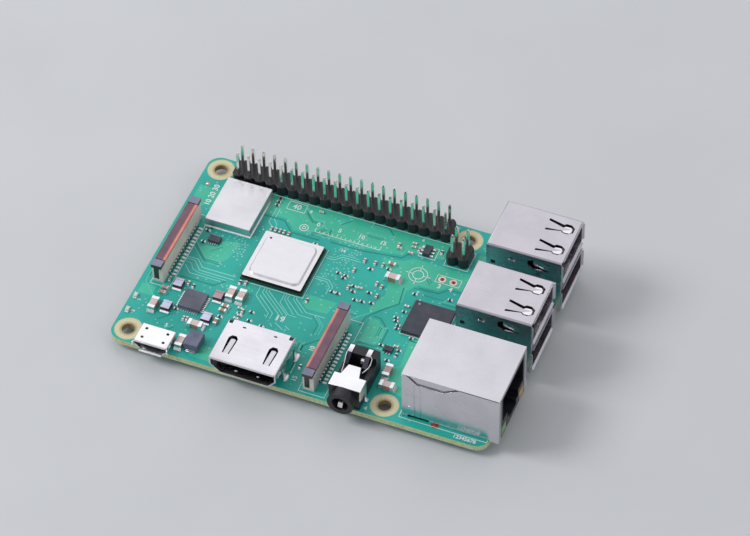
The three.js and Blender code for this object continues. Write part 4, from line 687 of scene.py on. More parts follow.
PAD_REACH, PAD_HEIGHT, PAD_RISE_SHARE = 0.22, 0.06, 0.62
BODY_INSET, END_INSET, UNDERSIDE = 0.03, 0.05, 0.02
FLIP = Matrix.Rotation(math.pi, 4, "X")


def small_part(bodies, ends, x, y, way, length, width, height, under=False):
    """A body between two wrapped ends, each with a fillet of solder on its pad."""
    move = Matrix.Translation((x, y, BOARD_BOTTOM if under else 0))
    move = move @ Matrix.Rotation(math.pi / 2 if way == "y" else 0, 4, "Z")
    if under:
        move = move @ FLIP
    half, wide, cap = length / 2, width / 2, length * END_SHARE
    bodies.block(END_INSET - half, half - END_INSET, BODY_INSET - wide, wide - BODY_INSET, UNDERSIDE,
                 height - BODY_INSET, move=move)
    for side in (-1, 1):
        inner, outer, reach = side * (half - cap), side * half, side * (half + PAD_REACH)
        ends.block(inner, outer, -wide, wide, UNDERSIDE, height, move=move)
        fillet = [(0.0, reach), (PAD_HEIGHT, reach), (height * PAD_RISE_SHARE, outer), (0.0, outer)]
        ends.prism(fillet, -wide, wide, axis="y", move=move)


small_ends = Shape()
for kind, (finish, *form, places) in SMALL_PARTS.items():
    bodies = Shape()
    for place in places:
        small_part(bodies, small_ends, *place, *form)
    bodies.piece("parts_" + kind, [finish], bevel=0.05)
small_ends.piece("part_ends", [SOLDER], bevel=0.05)

# Solder lands and fillets of the larger parts

LAND_REACH, LAND_HEIGHT, LAND_UNDER, LAND_SIDE = 0.45, 0.07, 0.3, 0.05
FILLET_HEIGHT, COIL_FILLET_HEIGHT, FILLET_GAP = 0.55, 0.25, 0.01
PAD_UNDER = 0.15
lands = Shape()
for node in CAPACITORS + COILS:
    low, high = box_mm(node)
    along = 0 if high.x - low.x > high.y - low.y else 1
    flanks = (low[1 - along] - LAND_SIDE, high[1 - along] + LAND_SIDE)
    rise = COIL_FILLET_HEIGHT if node in COILS else FILLET_HEIGHT
    for end, out in ((low[along], -1), (high[along], 1)):
        far, near, under = (end + out * step for step in (LAND_REACH, FILLET_GAP, -LAND_UNDER))
        profile = [(far, 0.0), (far, LAND_HEIGHT), (near, rise), (under, 0.0)]
        if along == 0:
            profile = [(z, x) for x, z in profile]
        lands.prism(profile, *flanks, axis="yx"[along])


def pad_row(node, side, count, pitch, width, reach, height=0.12):
    """Soldered pads or legs along one side of a chip, such as the one at +x."""
    low, high = box_mm(node)
    axis, out = "xy".index(side[1]), 1 if side[0] == "+" else -1
    edge = (high if out > 0 else low)[axis]
    across = sorted((edge - out * PAD_UNDER, edge + out * reach))
    for i in range(count):
        centre = (low[1 - axis] + high[1 - axis]) / 2 + (i - (count - 1) / 2) * pitch
        along = (centre - width / 2, centre + width / 2)
        lands.block(*(across if axis == 0 else along), *(along if axis == 0 else across), 0.0, height)


# Chip, sides, pads on a side, pitch, width, reach and height
PAD_ROWS = (
    ("power_chip", ("+x", "-x", "+y", "-y"), 9, 0.5, 0.3, 0.6),
    ("network_hub_chip", ("+x", "-x", "+y", "-y"), 16, 0.5, 0.22, 0.12, 0.08),
    ("switch_chip", ("+x", "-x"), 3, 0.95, 0.4, 0.75, 0.3),
    ("filter_chip", ("+y", "-y"), 3, 0.65, 0.3, 0.55, 0.25),
    ("clock_crystal", ("+y", "-y"), 5, 0.5, 0.25, 0.5, 0.22),
)
for node, sides, *sizes in PAD_ROWS:
    for side in sides:
        pad_row(node, side, *sizes)
RIBBON_CONTACTS = 15
LEAD_HALF, LEAD_IN, LEAD_OUT, LEAD_HEIGHT = 0.27, 0.6, 0.35, 0.1
for side in RIBBONS:
    low, high = box_mm(side + "_ribbon_housing")
    for i in range(RIBBON_CONTACTS):
        y = (low.y + high.y) / 2 + i - (RIBBON_CONTACTS - 1) / 2
        lands.block(high.x - LEAD_IN, high.x + LEAD_OUT, y - LEAD_HALF, y + LEAD_HALF, 0.0, LEAD_HEIGHT)
# The shield's skirt is soldered down all round.
SHIELD_LOW, SHIELD_HIGH = box_mm("wireless_shield")
SKIRT_REACH, SKIRT_HEIGHT, SKIRT_OVER = 0.28, 0.25, 0.2
for y, out in ((SHIELD_LOW.y, -1), (SHIELD_HIGH.y, 1)):
    lands.prism([(y + out * SKIRT_REACH, 0.0), (y, SKIRT_HEIGHT), (y, 0.0)],
                SHIELD_LOW.x - SKIRT_OVER, SHIELD_HIGH.x + SKIRT_OVER, axis="x")
for x, out in ((SHIELD_LOW.x, -1), (SHIELD_HIGH.x, 1)):
    lands.prism([(0.0, x + out * SKIRT_REACH), (SKIRT_HEIGHT, x), (0.0, x)],
                SHIELD_LOW.y, SHIELD_HIGH.y, axis="y")
# The tabs of the video port stand in ovals of solder.
OVAL = ((1.0, 0.0), (0.97, 0.1), (0.8, 0.26), (0.5, 0.36), (0.12, 0.4))
OVAL_HALF_WIDTH = 0.62
for x in (24.35, 39.65):
    for y, half_length in ((2.97, 1.05), (8.8, 1.35)):
        stretch = Matrix.Diagonal((OVAL_HALF_WIDTH, half_length, 1, 1))
        lands.turned(0, 0, OVAL, sides=18, move=Matrix.Translation((x, y, 0)) @ stretch)
lands.piece("solder_lands", [SOLDER], bevel=0.04)

# Small forms of the shells: folded edges, dimples and lances

DOME = ((1.0, -0.1), (1.0, 0.0), (0.86, 0.28), (0.55, 0.48), (0.12, 0.55))
OUT = {-1: Matrix.Rotation(math.pi / 2, 4, "X"), 1: Matrix.Rotation(-math.pi / 2, 4, "X")}
details, shade_and_dots = Shape(), Shape()


def dome(place, radius, turn=None):
    """A round bump that stands out of a surface along its own Z."""
    profile = [(radius * r, radius * z) for r, z in DOME]
    details.turned(0, 0, profile, sides=14, move=Matrix.Translation(place) @ (turn or Matrix.Identity(4)))


# On both side walls of the network jack: a folded edge, a black strip of painted shade in the seam over it, a
# notch's outline in black as painted shade, and a dimple
FOLD_START, FOLD_END = 78.4, 86.9
FOLD_HEIGHTS, SEAM_HEIGHTS = (13.02, 13.14), (13.15, 13.3)
FOLD_PROUD, SHADE_PROUD = 0.06, 0.015
NOTCH = ((66.8, 13.35), (69.2, 11.25), (75.0, 11.25), (78.4, 13.3))
NOTCH_WIDTH, NOTCH_DEPTHS = 0.08, (-0.09, 0.006)
for side, wall in ((-1, JACK_LOW.y), (1, JACK_HIGH.y)):
    details.block(FOLD_START, FOLD_END, wall, wall + side * FOLD_PROUD, *FOLD_HEIGHTS)
    shade_and_dots.block(FOLD_START, FOLD_END, wall, wall + side * SHADE_PROUD, *SEAM_HEIGHTS)
    flat = Matrix.Translation((0, wall, 0)) @ OUT[side]
    shade_and_dots.ribbon([(x, -side * z) for x, z in NOTCH], NOTCH_WIDTH, *NOTCH_DEPTHS, move=flat)
    dome((67.5, wall, 3.5), 0.35, OUT[side])
# A lance in each side of a USB stack: a tongue of the sheet pushed out, with a black patch of painted shade
# for the opening over it.
# Each outline holds (z, x).
FLARE, LANCE_PROUD = 0.35, 0.3
LANCE = [(11.85, 74.6), (11.85, 76.3), (12.3, 76.0), (12.3, 74.9)]
LANCE_TOP = [(12.05, 75.0), (12.05, 76.2), (12.28, 75.9), (12.28, 75.1)]
LANCE_SHADE = [(12.3, 74.8), (12.3, 76.1), (12.7, 75.8), (12.8, 75.4), (12.7, 75.0)]
for name in ("rear_usb_shell", "front_usb_shell"):
    low, high = box_mm(name)
    for side, wall in ((-1, low.y + FLARE), (1, high.y - FLARE)):
        details.prism(LANCE, wall, wall + side * LANCE_PROUD, axis="y", top=LANCE_TOP)
        shade_and_dots.prism(LANCE_SHADE, *sorted((wall, wall + side * SHADE_PROUD)), axis="y")
# Dimples on top of the small things around, as x, y, z and radius
DOMES = ((29.6, 0.37, 1.0, 0.42), (34.5, 0.5, 1.0, 0.42), (57.0, 3.5, 0.0, 0.42), (60.27, 45.75, 0.0, 0.24),
         (62.52, 45.75, 0.0, 0.24), (66.33, 5.0, 0.0, 0.3))
for *place, radius in DOMES:
    dome(place, radius)
# Blades in the paler tin of painted highlight beside the audio jack's arms, its tip contact and the one in
# its bore, as outlines of (y, z)
BLADE_WIDTH, BLADE_HEIGHT = 0.16, 0.4
BLADE_PATHS = (
    [(50.75, 9.9, 5.6), (50.85, 8.84, 5.5), (51.04, 7.84, 5.2), (51.22, 6.54, 4.8), (51.31, 5.2, 4.4)],
    [(55.75, 10.3, 5.6), (56.3, 9.8, 5.35), (56.4, 8.64, 5.0), (56.21, 7.69, 4.7), (55.43, 6.3, 4.3)],
)
blades = Shape()
for path in BLADE_PATHS:
    blades.blade(path, BLADE_WIDTH, BLADE_HEIGHT)
blades.prism([(9.3, 3.6), (10.04, 3.6), (10.04, 4.5), (9.5, 4.3)], 53.85, 54.6, axis="x")
blades.prism([(-1.3, 1.2), (-0.2, 1.2), (-0.2, 2.1), (-0.75, 2.2)], 52.95, 54.0, axis="x")
blades.piece("audio_contact_blades", [HIGHLIGHT_TIN], bevel=0.03)
details.piece("shell_details", [TIN], bevel=0.03)
# A dark spot on the board and one on the processor's lid, and a pale one on the network chip
LID_TOP, HUB_TOP = (box_mm(node)[1].z for node in ("processor_heat_spreader", "network_hub_chip"))
shade_and_dots.turned(8.49, 36.1, [(0.32, 0.0), (0.32, 0.04)], sides=12)
shade_and_dots.turned(22.15, 36.6, [(0.27, LID_TOP - 0.05), (0.27, LID_TOP + 0.012)], sides=14)
# Black strips and patches of painted shade on the shells, with the dark marks on the board and the lid.
shade_and_dots.piece("painted_shade_and_dots", [BLACK])
mark = Shape()
mark.turned(58.42, 31.2, [(0.3, HUB_TOP - 0.05), (0.3, HUB_TOP + 0.01)], sides=14)
mark.piece("chip_mark", [CORE])

# Plated holes that stay empty: a bright ring on each face, a tube between them and a dark plug, which paints
# the shade inside the hole

EMPTY_HOLES = ((60.15, 40.0), (62.69, 40.0))
PAD_OUTER, PAD_INNER, PAD_PROUD, PAD_SUNK = 0.85, 0.46, 0.04, 0.01
TUBE_OUTER, TUBE_INNER, PLUG_RADIUS = 0.5, 0.44, 0.47
plating = Shape()
for x, y in EMPTY_HOLES:
    plating.ring(x, y, PAD_OUTER, PAD_INNER, -PAD_SUNK, PAD_PROUD, sides=20)
    plating.ring(x, y, PAD_OUTER, PAD_INNER, BOARD_BOTTOM - PAD_PROUD, BOARD_BOTTOM + PAD_SUNK, sides=20)
    plating.ring(x, y, TUBE_OUTER, TUBE_INNER, BOARD_BOTTOM, 0.0, 1, sides=20)
    plating.turned(x, y, [(PLUG_RADIUS, -0.05), (PLUG_RADIUS, 0.016)], 1, sides=20)
# A dark ring and spot beside the network jack, in copper darkened with painted shade, and a bare round mark
# near the board's corner
plating.ring(73.1, 2.25, PAD_OUTER, 0.55, 0.0, PAD_PROUD, 1, sides=18)
plating.turned(73.1, 2.25, [(0.56, 0.0), (0.56, 0.015)], 1, sides=18)
plating.turned(2.41, 47.83, [(0.5, 0.0), (0.5, 0.03)], sides=20)
plating.piece("plated_holes", [COPPER_BARE, SHADED_COPPER])

# Solder cones round the tails under the board

SOLDER_RING = Vector((0.35, 0.35))
CORE_SHARE = 0.8
CONE_SIDES = 14
CONE = ((1.0, 0.0), (1.0, 0.05), (0.72, 0.3), (0.45, 0.62), (0.3, 0.8))
NEAR_X, NEAR_Y = 1.2, 1.75
THROUGH = ("pin_header", "small_pin_header", "rear_usb_insert", "front_usb_insert", "rear_usb_shell",
           "front_usb_shell", "network_jack_shell", "network_jack_insert", "video_port_shell",
           "power_socket_shell")


def tails_of(node):
    """The centre and half size of each tail, read from the node's points under the board."""
    groups = []
    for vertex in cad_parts[node].data.vertices:
        place = (vertex.co - ORIGIN) / MM
        if place.z > BOARD_BOTTOM - 0.2:
            continue
        for group in groups:
            if any(abs(place.x - p.x) < NEAR_X and abs(place.y - p.y) < NEAR_Y for p in group):
                group.append(place)
                break
        else:
            groups.append([place])
    for group in groups:
        low = Vector([min(p[i] for p in group) for i in (0, 1)])
        high = Vector([max(p[i] for p in group) for i in (0, 1)])
        if max(high - low) < 2 * NEAR_X:
            yield (low + high) / 2, (high - low) / 2


TAILS = [tail for node in THROUGH for tail in tails_of(node)]
joints = Shape()
for centre, half in TAILS:
    rings = []
    for share, drop in CONE[::-1]:
        reach = half * CORE_SHARE + (half * (1 - CORE_SHARE) + SOLDER_RING) * share
        rings.append(circle(centre.x, centre.y, reach.x, reach.y, BOARD_BOTTOM - drop, CONE_SIDES))
    joints.loft(rings, smooth=True)
joints.piece("solder_joints", [SOLDER])

# Copper under the mask: pours, bundles of tracks and vias, on both faces

random.seed(11)
TRACK_HEIGHT, POUR_HEIGHT, VIA_HEIGHT = 0.022, 0.012, 0.035
TRACK_WIDTHS, TRACK_PITCHES, CHANNEL_WIDTH = (0.14, 0.17, 0.2), (0.4, 0.45, 0.6), 0.3
VIA_BORE, VIA_LEAST, VIA_MOST, VIA_ROOM = 0.1, 0.17, 0.24, 0.3
CELL = 0.22
MARGIN, SCATTER_MARGIN = 1.0, 1.5
CLEARANCE, HOLE_CLEARANCE, KEEP_OFF = 0.3, 0.5, 0.9
TRIES_EACH = 40
UNDER_NODES = ("memory_chip", "card_socket_shell", "card_socket_tray")


def open_ground(boxes):
    """The cells of a face where a track or a small part may lie, as a set of their numbers."""
    boxes = boxes + [(Vector((x - KEEP_OFF, y - KEEP_OFF)), Vector((x + KEEP_OFF, y + KEEP_OFF)))
                     for x, y in EMPTY_HOLES]
    free = set()
    for i in range(int(BOARD_LENGTH / CELL)):
        for j in range(int(BOARD_WIDTH / CELL)):
            x, y = (i + 0.5) * CELL, (j + 0.5) * CELL
            if not (MARGIN < x < BOARD_LENGTH - MARGIN and MARGIN < y < BOARD_WIDTH - MARGIN):
                continue
            if any(math.dist((x, y), hole) <= RING_RADIUS + HOLE_CLEARANCE for hole in HOLES):
                continue
            if not any(low.x - CLEARANCE < x < high.x + CLEARANCE
                       and low.y - CLEARANCE < y < high.y + CLEARANCE for low, high in boxes):
                free.add((i, j))
    return free


def cells_of(path):
    """The cells that a path crosses."""
    found = set()
    for a, b in zip(path, path[1:]):
        steps = max(1, int(math.dist(a, b) / (CELL / 2)))
        for k in range(steps + 1):
            x, y = (a[i] + (b[i] - a[i]) * k / steps for i in (0, 1))
            found.add((int(x / CELL), int(y / CELL)))
    return found


def patch(x, y, half_x, half_y):
    """The cells round a place."""
    return {(i, j) for i in range(int((x - half_x) / CELL), int((x + half_x) / CELL) + 1)
            for j in range(int((y - half_y) / CELL), int((y + half_y) / CELL) + 1)}


def route(free, tries):
    """Bundles of parallel tracks with 45 degree bends, each kept off what is already there."""
    paths = []
    for _ in range(tries):
        x, y = random.uniform(0, BOARD_LENGTH), random.uniform(0, BOARD_WIDTH)
        way = random.randrange(8)
        path = [(x, y)]
        for _leg in range(random.randint(1, 3)):
            length, angle = random.uniform(1.5, 6.5), way * math.pi / 4
            x, y = x + length * math.cos(angle), y + length * math.sin(angle)
            path.append((x, y))
            way += random.choice((-1, 1))
        angle = math.atan2(path[1][1] - path[0][1], path[1][0] - path[0][0]) + math.pi / 2
        pitch = random.choice(TRACK_PITCHES)
        for copy in range(random.randint(1, 4)):
            shift_x, shift_y = math.cos(angle) * pitch * copy, math.sin(angle) * pitch * copy
            moved = [(px + shift_x, py + shift_y) for px, py in path]
            cells = cells_of(moved)
            if not cells <= free:
                break
            free -= cells
            paths.append(moved)
    return paths


def scatter(free, count, half_x, half_y):
    """Free places for small things, found in a fixed random order."""
    found = []
    for _ in range(count * TRIES_EACH):
        if len(found) == count:
            break
        x, y = (random.uniform(SCATTER_MARGIN, size - SCATTER_MARGIN) for size in (BOARD_LENGTH, BOARD_WIDTH))
        cells = patch(x, y, half_x, half_y)
        if cells <= free:
            free -= cells
            found.append((x, y))
    return found


# On the top face: tracks, gaps between the copper areas, and the areas
DIAGONALS = [
    [(24.9, 24.2), (24.9, 21.7), (29.34, 17.96), (29.34, 16.6)],
    [(25.69, 22.06), (30.16, 18.28), (30.16, 16.6)],
    [(25.91, 24.2), (25.91, 22.9), (31.4, 18.5), (31.4, 16.6)],
    [(26.48, 24.2), (26.48, 23.37), (32.3, 18.6)], [(27.1, 24.2), (27.1, 23.7), (33.1, 18.9), (33.1, 16.6)],
    [(30.46, 24.2), (30.46, 21.64), (33.46, 19.05), (35.3, 19.05)],
    [(31, 24.2), (31, 22.82), (34.44, 19.43)],
    [(31.58, 24.2), (31.58, 23.07), (35.43, 19.81), (38.5, 19.81)],
    [(32.73, 24.2), (32.73, 23.52), (36.07, 20.55)], [(33.3, 24.2), (33.3, 23.8), (36.7, 21), (41, 21)],
    [(30.76, 15.52), (31.44, 14.8)], [(31.65, 16.11), (33.93, 14.77)], [(33.97, 16.02), (35.23, 15.27)],
    [(7, 26.68), (9.39, 26.68), (11.18, 24.82), (15.24, 24.85), (18.9, 24.85)],
    [(7, 26.1), (8.9, 26.1), (10.93, 23.9), (15.81, 23.9), (18.9, 23.9)],
    [(7, 25.5), (8.54, 25.07), (9.29, 23.83), (10.93, 23.19), (17.4, 23.19)],
    [(7.4, 24.4), (9.2, 22.5), (16.18, 22.5), (17.6, 21.1)],
    [(20.6, 39.4), (20.6, 40.8), (19.3, 42.1), (19.3, 46.4)],
    [(21.2, 39.4), (21.2, 42), (20.1, 43.1), (20.1, 46.4)],
    [(34.7, 30.6), (37.4, 30.6), (38.6, 29.4), (38.6, 27.2)],
    [(34.7, 31.2), (37.7, 31.2), (39.2, 29.7), (39.2, 29)],
    [(34.7, 36.9), (36.6, 36.9), (38, 38.3), (42.2, 38.3)],
    [(34.7, 37.5), (36.3, 37.5), (37.7, 38.9), (41.6, 38.9)],
]
CHANNELS = [
    [(33.8, 41.4), (41.4, 41.5), (49.9, 42.7), (51, 44.6)],
    [(48.5, 21.6), (48.9, 24.4), (51.7, 27.9), (54.1, 30.3), (53.4, 34.9)],
    [(49.6, 17.4), (53.6, 17.4), (54.6, 18.4), (54.6, 22.6), (52, 25.2), (50.4, 25.2)],
    [(56.4, 36), (60.8, 36), (62.6, 37.8), (68.6, 37.8)],
    [(16.6, 43.6), (22.4, 43.6), (24.9, 41), (31.5, 41)],
    [(59.8, 21.6), (62.6, 21.6), (64.8, 19.4), (64.8, 6.6)], [(7.6, 21), (15.4, 21), (17.4, 23)],
    [(1.6, 18.6), (1.6, 38.2), (2.4, 39)], [(37.4, 3), (39.6, 5.2), (39.6, 12.4), (42.4, 15.2), (42.4, 22)],
]
POURS_TOP = [
    [(17.4, 44.3), (22.6, 44.3), (25.2, 41.7), (33.4, 42.2), (41.2, 42.2), (49.5, 43.4), (50.4, 44.8),
     (58.2, 45.2), (58.2, 49.7), (17.4, 49.7)],
    [(34.74, 23.29), (36.44, 21.95), (40.91, 22.18), (41.9, 25.8), (35.58, 25.87)],
    [(50, 17.9), (53.3, 17.9), (54, 18.6), (54, 22.3), (51.8, 24.5), (50, 24.5)],
    [(49.3, 25.7), (52, 28.4), (54.6, 30.9), (54.2, 34.2), (56, 36.6), (60.4, 36.6), (62.2, 38.4),
     (68.9, 38.4), (68.9, 49.5), (65.2, 49.5), (65.2, 43.4), (52.4, 43.4), (50.4, 41.9), (46, 41.2),
     (49.6, 36), (50.4, 31.6), (48.6, 27)],
    [(7.95, 29.97), (11.96, 26.14), (13.46, 26.71), (15.38, 28.99), (16.08, 34.14), (12.62, 33.58),
     (11.62, 31.39), (9.4, 31)], [(1, 13.6), (4.3, 13.6), (4.3, 16.4), (1, 16.4)],
    [(1, 39.6), (2.2, 39.6), (5.9, 43.3), (5.9, 46.9), (1, 46.9)],
    [(18.2, 1.2), (23.6, 1.2), (23.6, 4.9), (18.2, 4.9)],
    [(59.9, 22.2), (62.9, 22.2), (65.4, 19.7), (65.4, 6.2), (63.2, 6.9), (58.9, 9), (58.9, 13),
     (60.6, 14.7)],
]


def copper(side, free, drawn, channels, pours, tries, dots, field=()):
    """The copper of one face. Side is 1 for the top and -1 below, and field holds places for more vias."""
    def layer(height):
        base = 0.0 if side > 0 else BOARD_BOTTOM
        return sorted((base, base + side * height))

    for path in drawn + channels:
        free -= cells_of(path)
    spots = []
    for x, y in field:
        if patch(x, y, 0.25, 0.25) <= free:
            free -= patch(x, y, 0.2, 0.2)
            spots.append((x, y))
    routed = route(free, tries)
    tracks, cuts, fills, vias = Shape(), Shape(), Shape(), Shape()
    for i, path in enumerate(drawn + routed):
        # The drawn tracks are pale, and two in five of the others are dark.
        tone = 1 if path in drawn else 0 if i % 5 < 3 else 2
        tracks.ribbon(path, random.choice(TRACK_WIDTHS), *layer(TRACK_HEIGHT), tone)
    for path in channels:
        cuts.ribbon(path, CHANNEL_WIDTH, *layer(TRACK_HEIGHT))
    for outline in pours:
        fills.prism(outline, *layer(POUR_HEIGHT))
    ends = [path[k] for path in routed[::2] for k in (0, -1)]
    for x, y in spots + ends + scatter(free, dots, VIA_ROOM, VIA_ROOM):
        vias.ring(x, y, random.uniform(VIA_LEAST, VIA_MOST), VIA_BORE, *layer(VIA_HEIGHT), sides=10)
    name = "top" if side > 0 else "under"
    tracks.piece("tracks_" + name, [COPPER, TRACE, CHANNEL])
    cuts.piece("channels_" + name, [CHANNEL])
    fills.piece("pours_" + name, [POUR])
    vias.piece("vias_" + name, [VIA])


top_ground = open_ground([box_mm(n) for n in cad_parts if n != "circuit_board" and n not in UNDER_NODES])
for _finish, way, length, width, _height, places in SMALL_PARTS.values():
    half = (length / 2 + 0.4, width / 2 + 0.2)
    for place in places:
        top_ground -= patch(*place, *(half if way == "x" else half[::-1]))
# Fans of fine vias beside the processor: arcs round a centre, from one angle to another
FANS = ((41.5, 39.2, 1.2, 5.6, 100, 290), (15.0, 32.4, 0.8, 3.4, -60, 200), (38.2, 32.0, 0.8, 3.0, 0, 330))
FAN_PITCH, FAN_STEP = 0.72, 0.62
via_field = []
for fan_x, fan_y, radius, most, start, end in FANS:
    while radius < most:
        steps = max(2, int(math.radians(end - start) * radius / FAN_PITCH))
        for k in range(steps):
            angle = math.radians(start + (end - start) * k / steps + random.uniform(-4, 4))
            via_field.append((fan_x + radius * math.cos(angle), fan_y + radius * math.sin(angle)))
        radius += FAN_STEP
copper(1, top_ground, DIAGONALS, CHANNELS, POURS_TOP, 700, 200, via_field)

# The underside: small parts, test pads and copper

MEMORY_LOW, MEMORY_HIGH = box_mm("memory_chip")
around = Vector((KEEP_OFF, KEEP_OFF))
tail_boxes = [(centre - half - around, centre + half + around) for centre, half in TAILS]
under_ground = open_ground([box_mm(n) for n in UNDER_NODES] + tail_boxes)
under_bodies = {"x": Shape(), "y": Shape()}
under_ends = Shape()


def under_part(way, x, y, height):
    small_part(under_bodies[way], under_ends, x, y, way, *TINY, height, True)


# Small parts in rows round the memory chip, and more of them in free places
ROW_COUNT, ROW_START, ROW_PITCH, ROW_OFF = 6, 1.0, 1.9, 1.4
for i in range(ROW_COUNT):
    x, y = (start + ROW_START + i * ROW_PITCH for start in MEMORY_LOW[:2])
    for end in (MEMORY_LOW.x - ROW_OFF, MEMORY_HIGH.x + ROW_OFF):
        under_part("x", end, y, 0.5)
        under_ground -= patch(end, y, 1.0, 0.5)
    for end in (MEMORY_LOW.y - ROW_OFF, MEMORY_HIGH.y + ROW_OFF):
        under_part("y", x, end, 0.5)
        under_ground -= patch(x, end, 0.5, 1.0)
for way, half in (("x", (1.1, 0.6)), ("y", (0.6, 1.1))):
    for x, y in scatter(under_ground, 26, *half):
        under_part(way, x, y, 0.42)
under_bodies["x"].piece("under_parts_dark", [CERAMIC_DARK], bevel=0.05)
under_bodies["y"].piece("under_parts_brown", [CERAMIC], bevel=0.05)
under_ends.piece("under_part_ends", [SOLDER], bevel=0.05)
test_pads = Shape()
for x, y in scatter(under_ground, 46, 0.8, 0.8):
    test_pads.turned(x, y, [(0.5, BOARD_BOTTOM - 0.03), (0.5, BOARD_BOTTOM)], sides=20)
test_pads.piece("test_pads", [GOLD])
UNDER_POURS = [
    [(68, 20.5), (83.5, 20.5), (83.5, 37.5), (68, 37.5)], [(50, 6.5), (64, 6.5), (64, 21), (56, 21)],
    [(7.5, 40), (24, 40), (28, 44), (52, 44), (57, 49), (7.5, 49)],
    [(1.2, 6.8), (14, 6.8), (18, 10.8), (18, 18), (1.2, 18)],
]
UNDER_CHANNELS = [
    [(66.9, 19.6), (84, 19.6)], [(66.9, 38.4), (84, 38.4)], [(19.5, 8), (19.5, 19), (36, 19), (40, 15)],
    [(38, 22), (44, 28), (44, 42), (55, 42)],
]
copper(-1, under_ground, [], UNDER_CHANNELS, UNDER_POURS, 1500, 260)

# Silkscreen: outlines, marks and plain numbers

INK_HEIGHT, INK_WIDTH, INK_GAP = 0.045, 0.12, 0.4
INK_BOXES = [
    (6.95, 58.4, 49.85, 55.15), (2.5, 6.9, 16.9, 38.8), (43.3, 49.1, 0.75, 22.6), (57.1, 66.5, 22.8, 32.35),
    (58.9, 64.3, 43.95, 49.4), (58.85, 64.25, 38.95, 41.05), (21.3, 25.4, 47.05, 49.4),
    (65.3, 84.6, 1.75, 18.7), (52.9, 56.6, 44.5, 47.7),
]
UNDER_BOXES = [
    (7, 58, 49.7, 55.3), (58.9, 64.3, 44.1, 49.5), (66.2, 84.6, 39.6, 54.4), (66.2, 84.6, 21.6, 36.4),
    (65.2, 84.6, 2.2, 18.4),
    (MEMORY_LOW.x - INK_GAP, MEMORY_HIGH.x + INK_GAP, MEMORY_LOW.y - INK_GAP, MEMORY_HIGH.y + INK_GAP),
]
ink, under_ink = Shape(), Shape()


def line(*path, width=INK_WIDTH):
    ink.ribbon(path, width, 0.0, INK_HEIGHT)


def ink_ring(x, y, radius, width=0.16, sides=32):
    ink.ring(x, y, radius, radius - width, 0.0, INK_HEIGHT, sides=sides)


for shape, boxes, low, high in ((ink, INK_BOXES, 0.0, INK_HEIGHT),
                                (under_ink, UNDER_BOXES, BOARD_BOTTOM - INK_HEIGHT, BOARD_BOTTOM)):
    for x0, x1, y0, y1 in boxes:
        shape.ribbon([(x0, y0), (x1, y0), (x1, y1), (x0, y1)], INK_WIDTH, low, high, closed=True)
line((20.0, 24.4), (34.45, 24.4), (34.45, 39.0))
for x in (23.95, 40.05):
    line((x, 4.4), (x, 7.2))
# A plain target where the photo shows a mark
TARGET_X, TARGET_Y = 54.9, 39.4
TARGET_INNER, TARGET_OUTER, TARGET_REACH, TARGET_WIDTH = 1.25, 2.1, 2.8, 0.16
for radius in (TARGET_OUTER, TARGET_INNER):
    ink_ring(TARGET_X, TARGET_Y, radius)
for dx, dy in ((1, 0), (-1, 0), (0, 1), (0, -1)):
    ends = [(TARGET_X + reach * dx, TARGET_Y + reach * dy) for reach in (TARGET_INNER, TARGET_REACH)]
    line(*ends, width=TARGET_WIDTH)
ink_ring(27.0, 43.2, 1.0, sides=28)
ink_ring(27.0, 43.2, 0.42, 0.14, sides=18)
# A plain rule: a line with a mark for each millimetre and a longer one for each fifth
RULE_X, RULE_Y, RULE_LENGTH = 29.6, 43.0, 15
SHORT_MARK, LONG_MARK = 0.6, 1.1
line((RULE_X, RULE_Y), (RULE_X + RULE_LENGTH, RULE_Y))
for i in range(RULE_LENGTH + 1):
    line((RULE_X + i, RULE_Y), (RULE_X + i, RULE_Y + (SHORT_MARK if i % 5 else LONG_MARK)))
for x, y in ((57.9, 32.9), (10.0, 18.0), (19.0, 39.6), (66.1, 38.3)):
    ink.turned(x, y, [(0.2, 0.0), (0.2, INK_HEIGHT)], sides=12)


def number(shape, text, x, y, size, turn=0.0):
    """Plain digits printed flat on the board's top, or on its underside for the under ink."""
    curve = bpy.data.curves.new("digits", "FONT")
    curve.body, curve.size, curve.extrude, curve.offset = text, size, INK_HEIGHT / 2, 0.03
    curve.align_x = curve.align_y = "CENTER"
    curve.resolution_u = 3
    made = in_scene("digits", curve)
    bpy.context.view_layer.update()
    mesh = bpy.data.meshes.new_from_object(made)
    place = Matrix.Translation((x, y, 0.0))
    if shape is under_ink:
        place = Matrix.Translation((x, y, BOARD_BOTTOM)) @ FLIP
    place = place @ Matrix.Rotation(math.radians(turn), 4, "Z") @ Matrix.Translation((0, 0, INK_HEIGHT / 2))
    shape.add([v.co for v in mesh.vertices], [list(p.vertices) for p in mesh.polygons], move=place)
    bpy.data.objects.remove(made)


# Text, place, size and turn
NUMBERS = [
    ("0", 29.6, 45.1, 1.5), ("5", 34.6, 45.1, 1.5), ("10", 39.6, 45.1, 1.5), ("15", 44.6, 45.1, 1.5),
    ("40", 23.35, 48.2, 1.9), ("8", 26.7, 48, 1.2), ("1", 2.25, 11.7, 1.2, 90), ("2", 2.35, 8.4, 1.2, 90),
    ("4", 58.1, 1.3, 1.4), ("15", 1.5, 28, 1.2, 90), ("15", 41.4, 3.4, 1.5, 90), ("3", 60.2, 37.9, 1.7),
    ("4", 62.8, 37.9, 1.7), ("19", 32.2, 17.4, 2.1), ("5", 10.6, 7.2, 1.3), ("12345678", 80, 1.05, 1.25),
    ("4", 67.6, 28.9, 1.3, 90), ("4", 67.6, 46.9, 1.3, 90), ("10 20 30", 4.7, 44.9, 1.8, 90),
    ("10", 41.7, 12.2, 1.5, 90), ("7", 56.6, 34.6, 1.1), ("9", 24.9, 13.2, 1.1), ("6", 52.4, 49, 1.1),
    ("11", 16.9, 10.2, 1.1), ("14", 37.4, 40, 1.1),
]
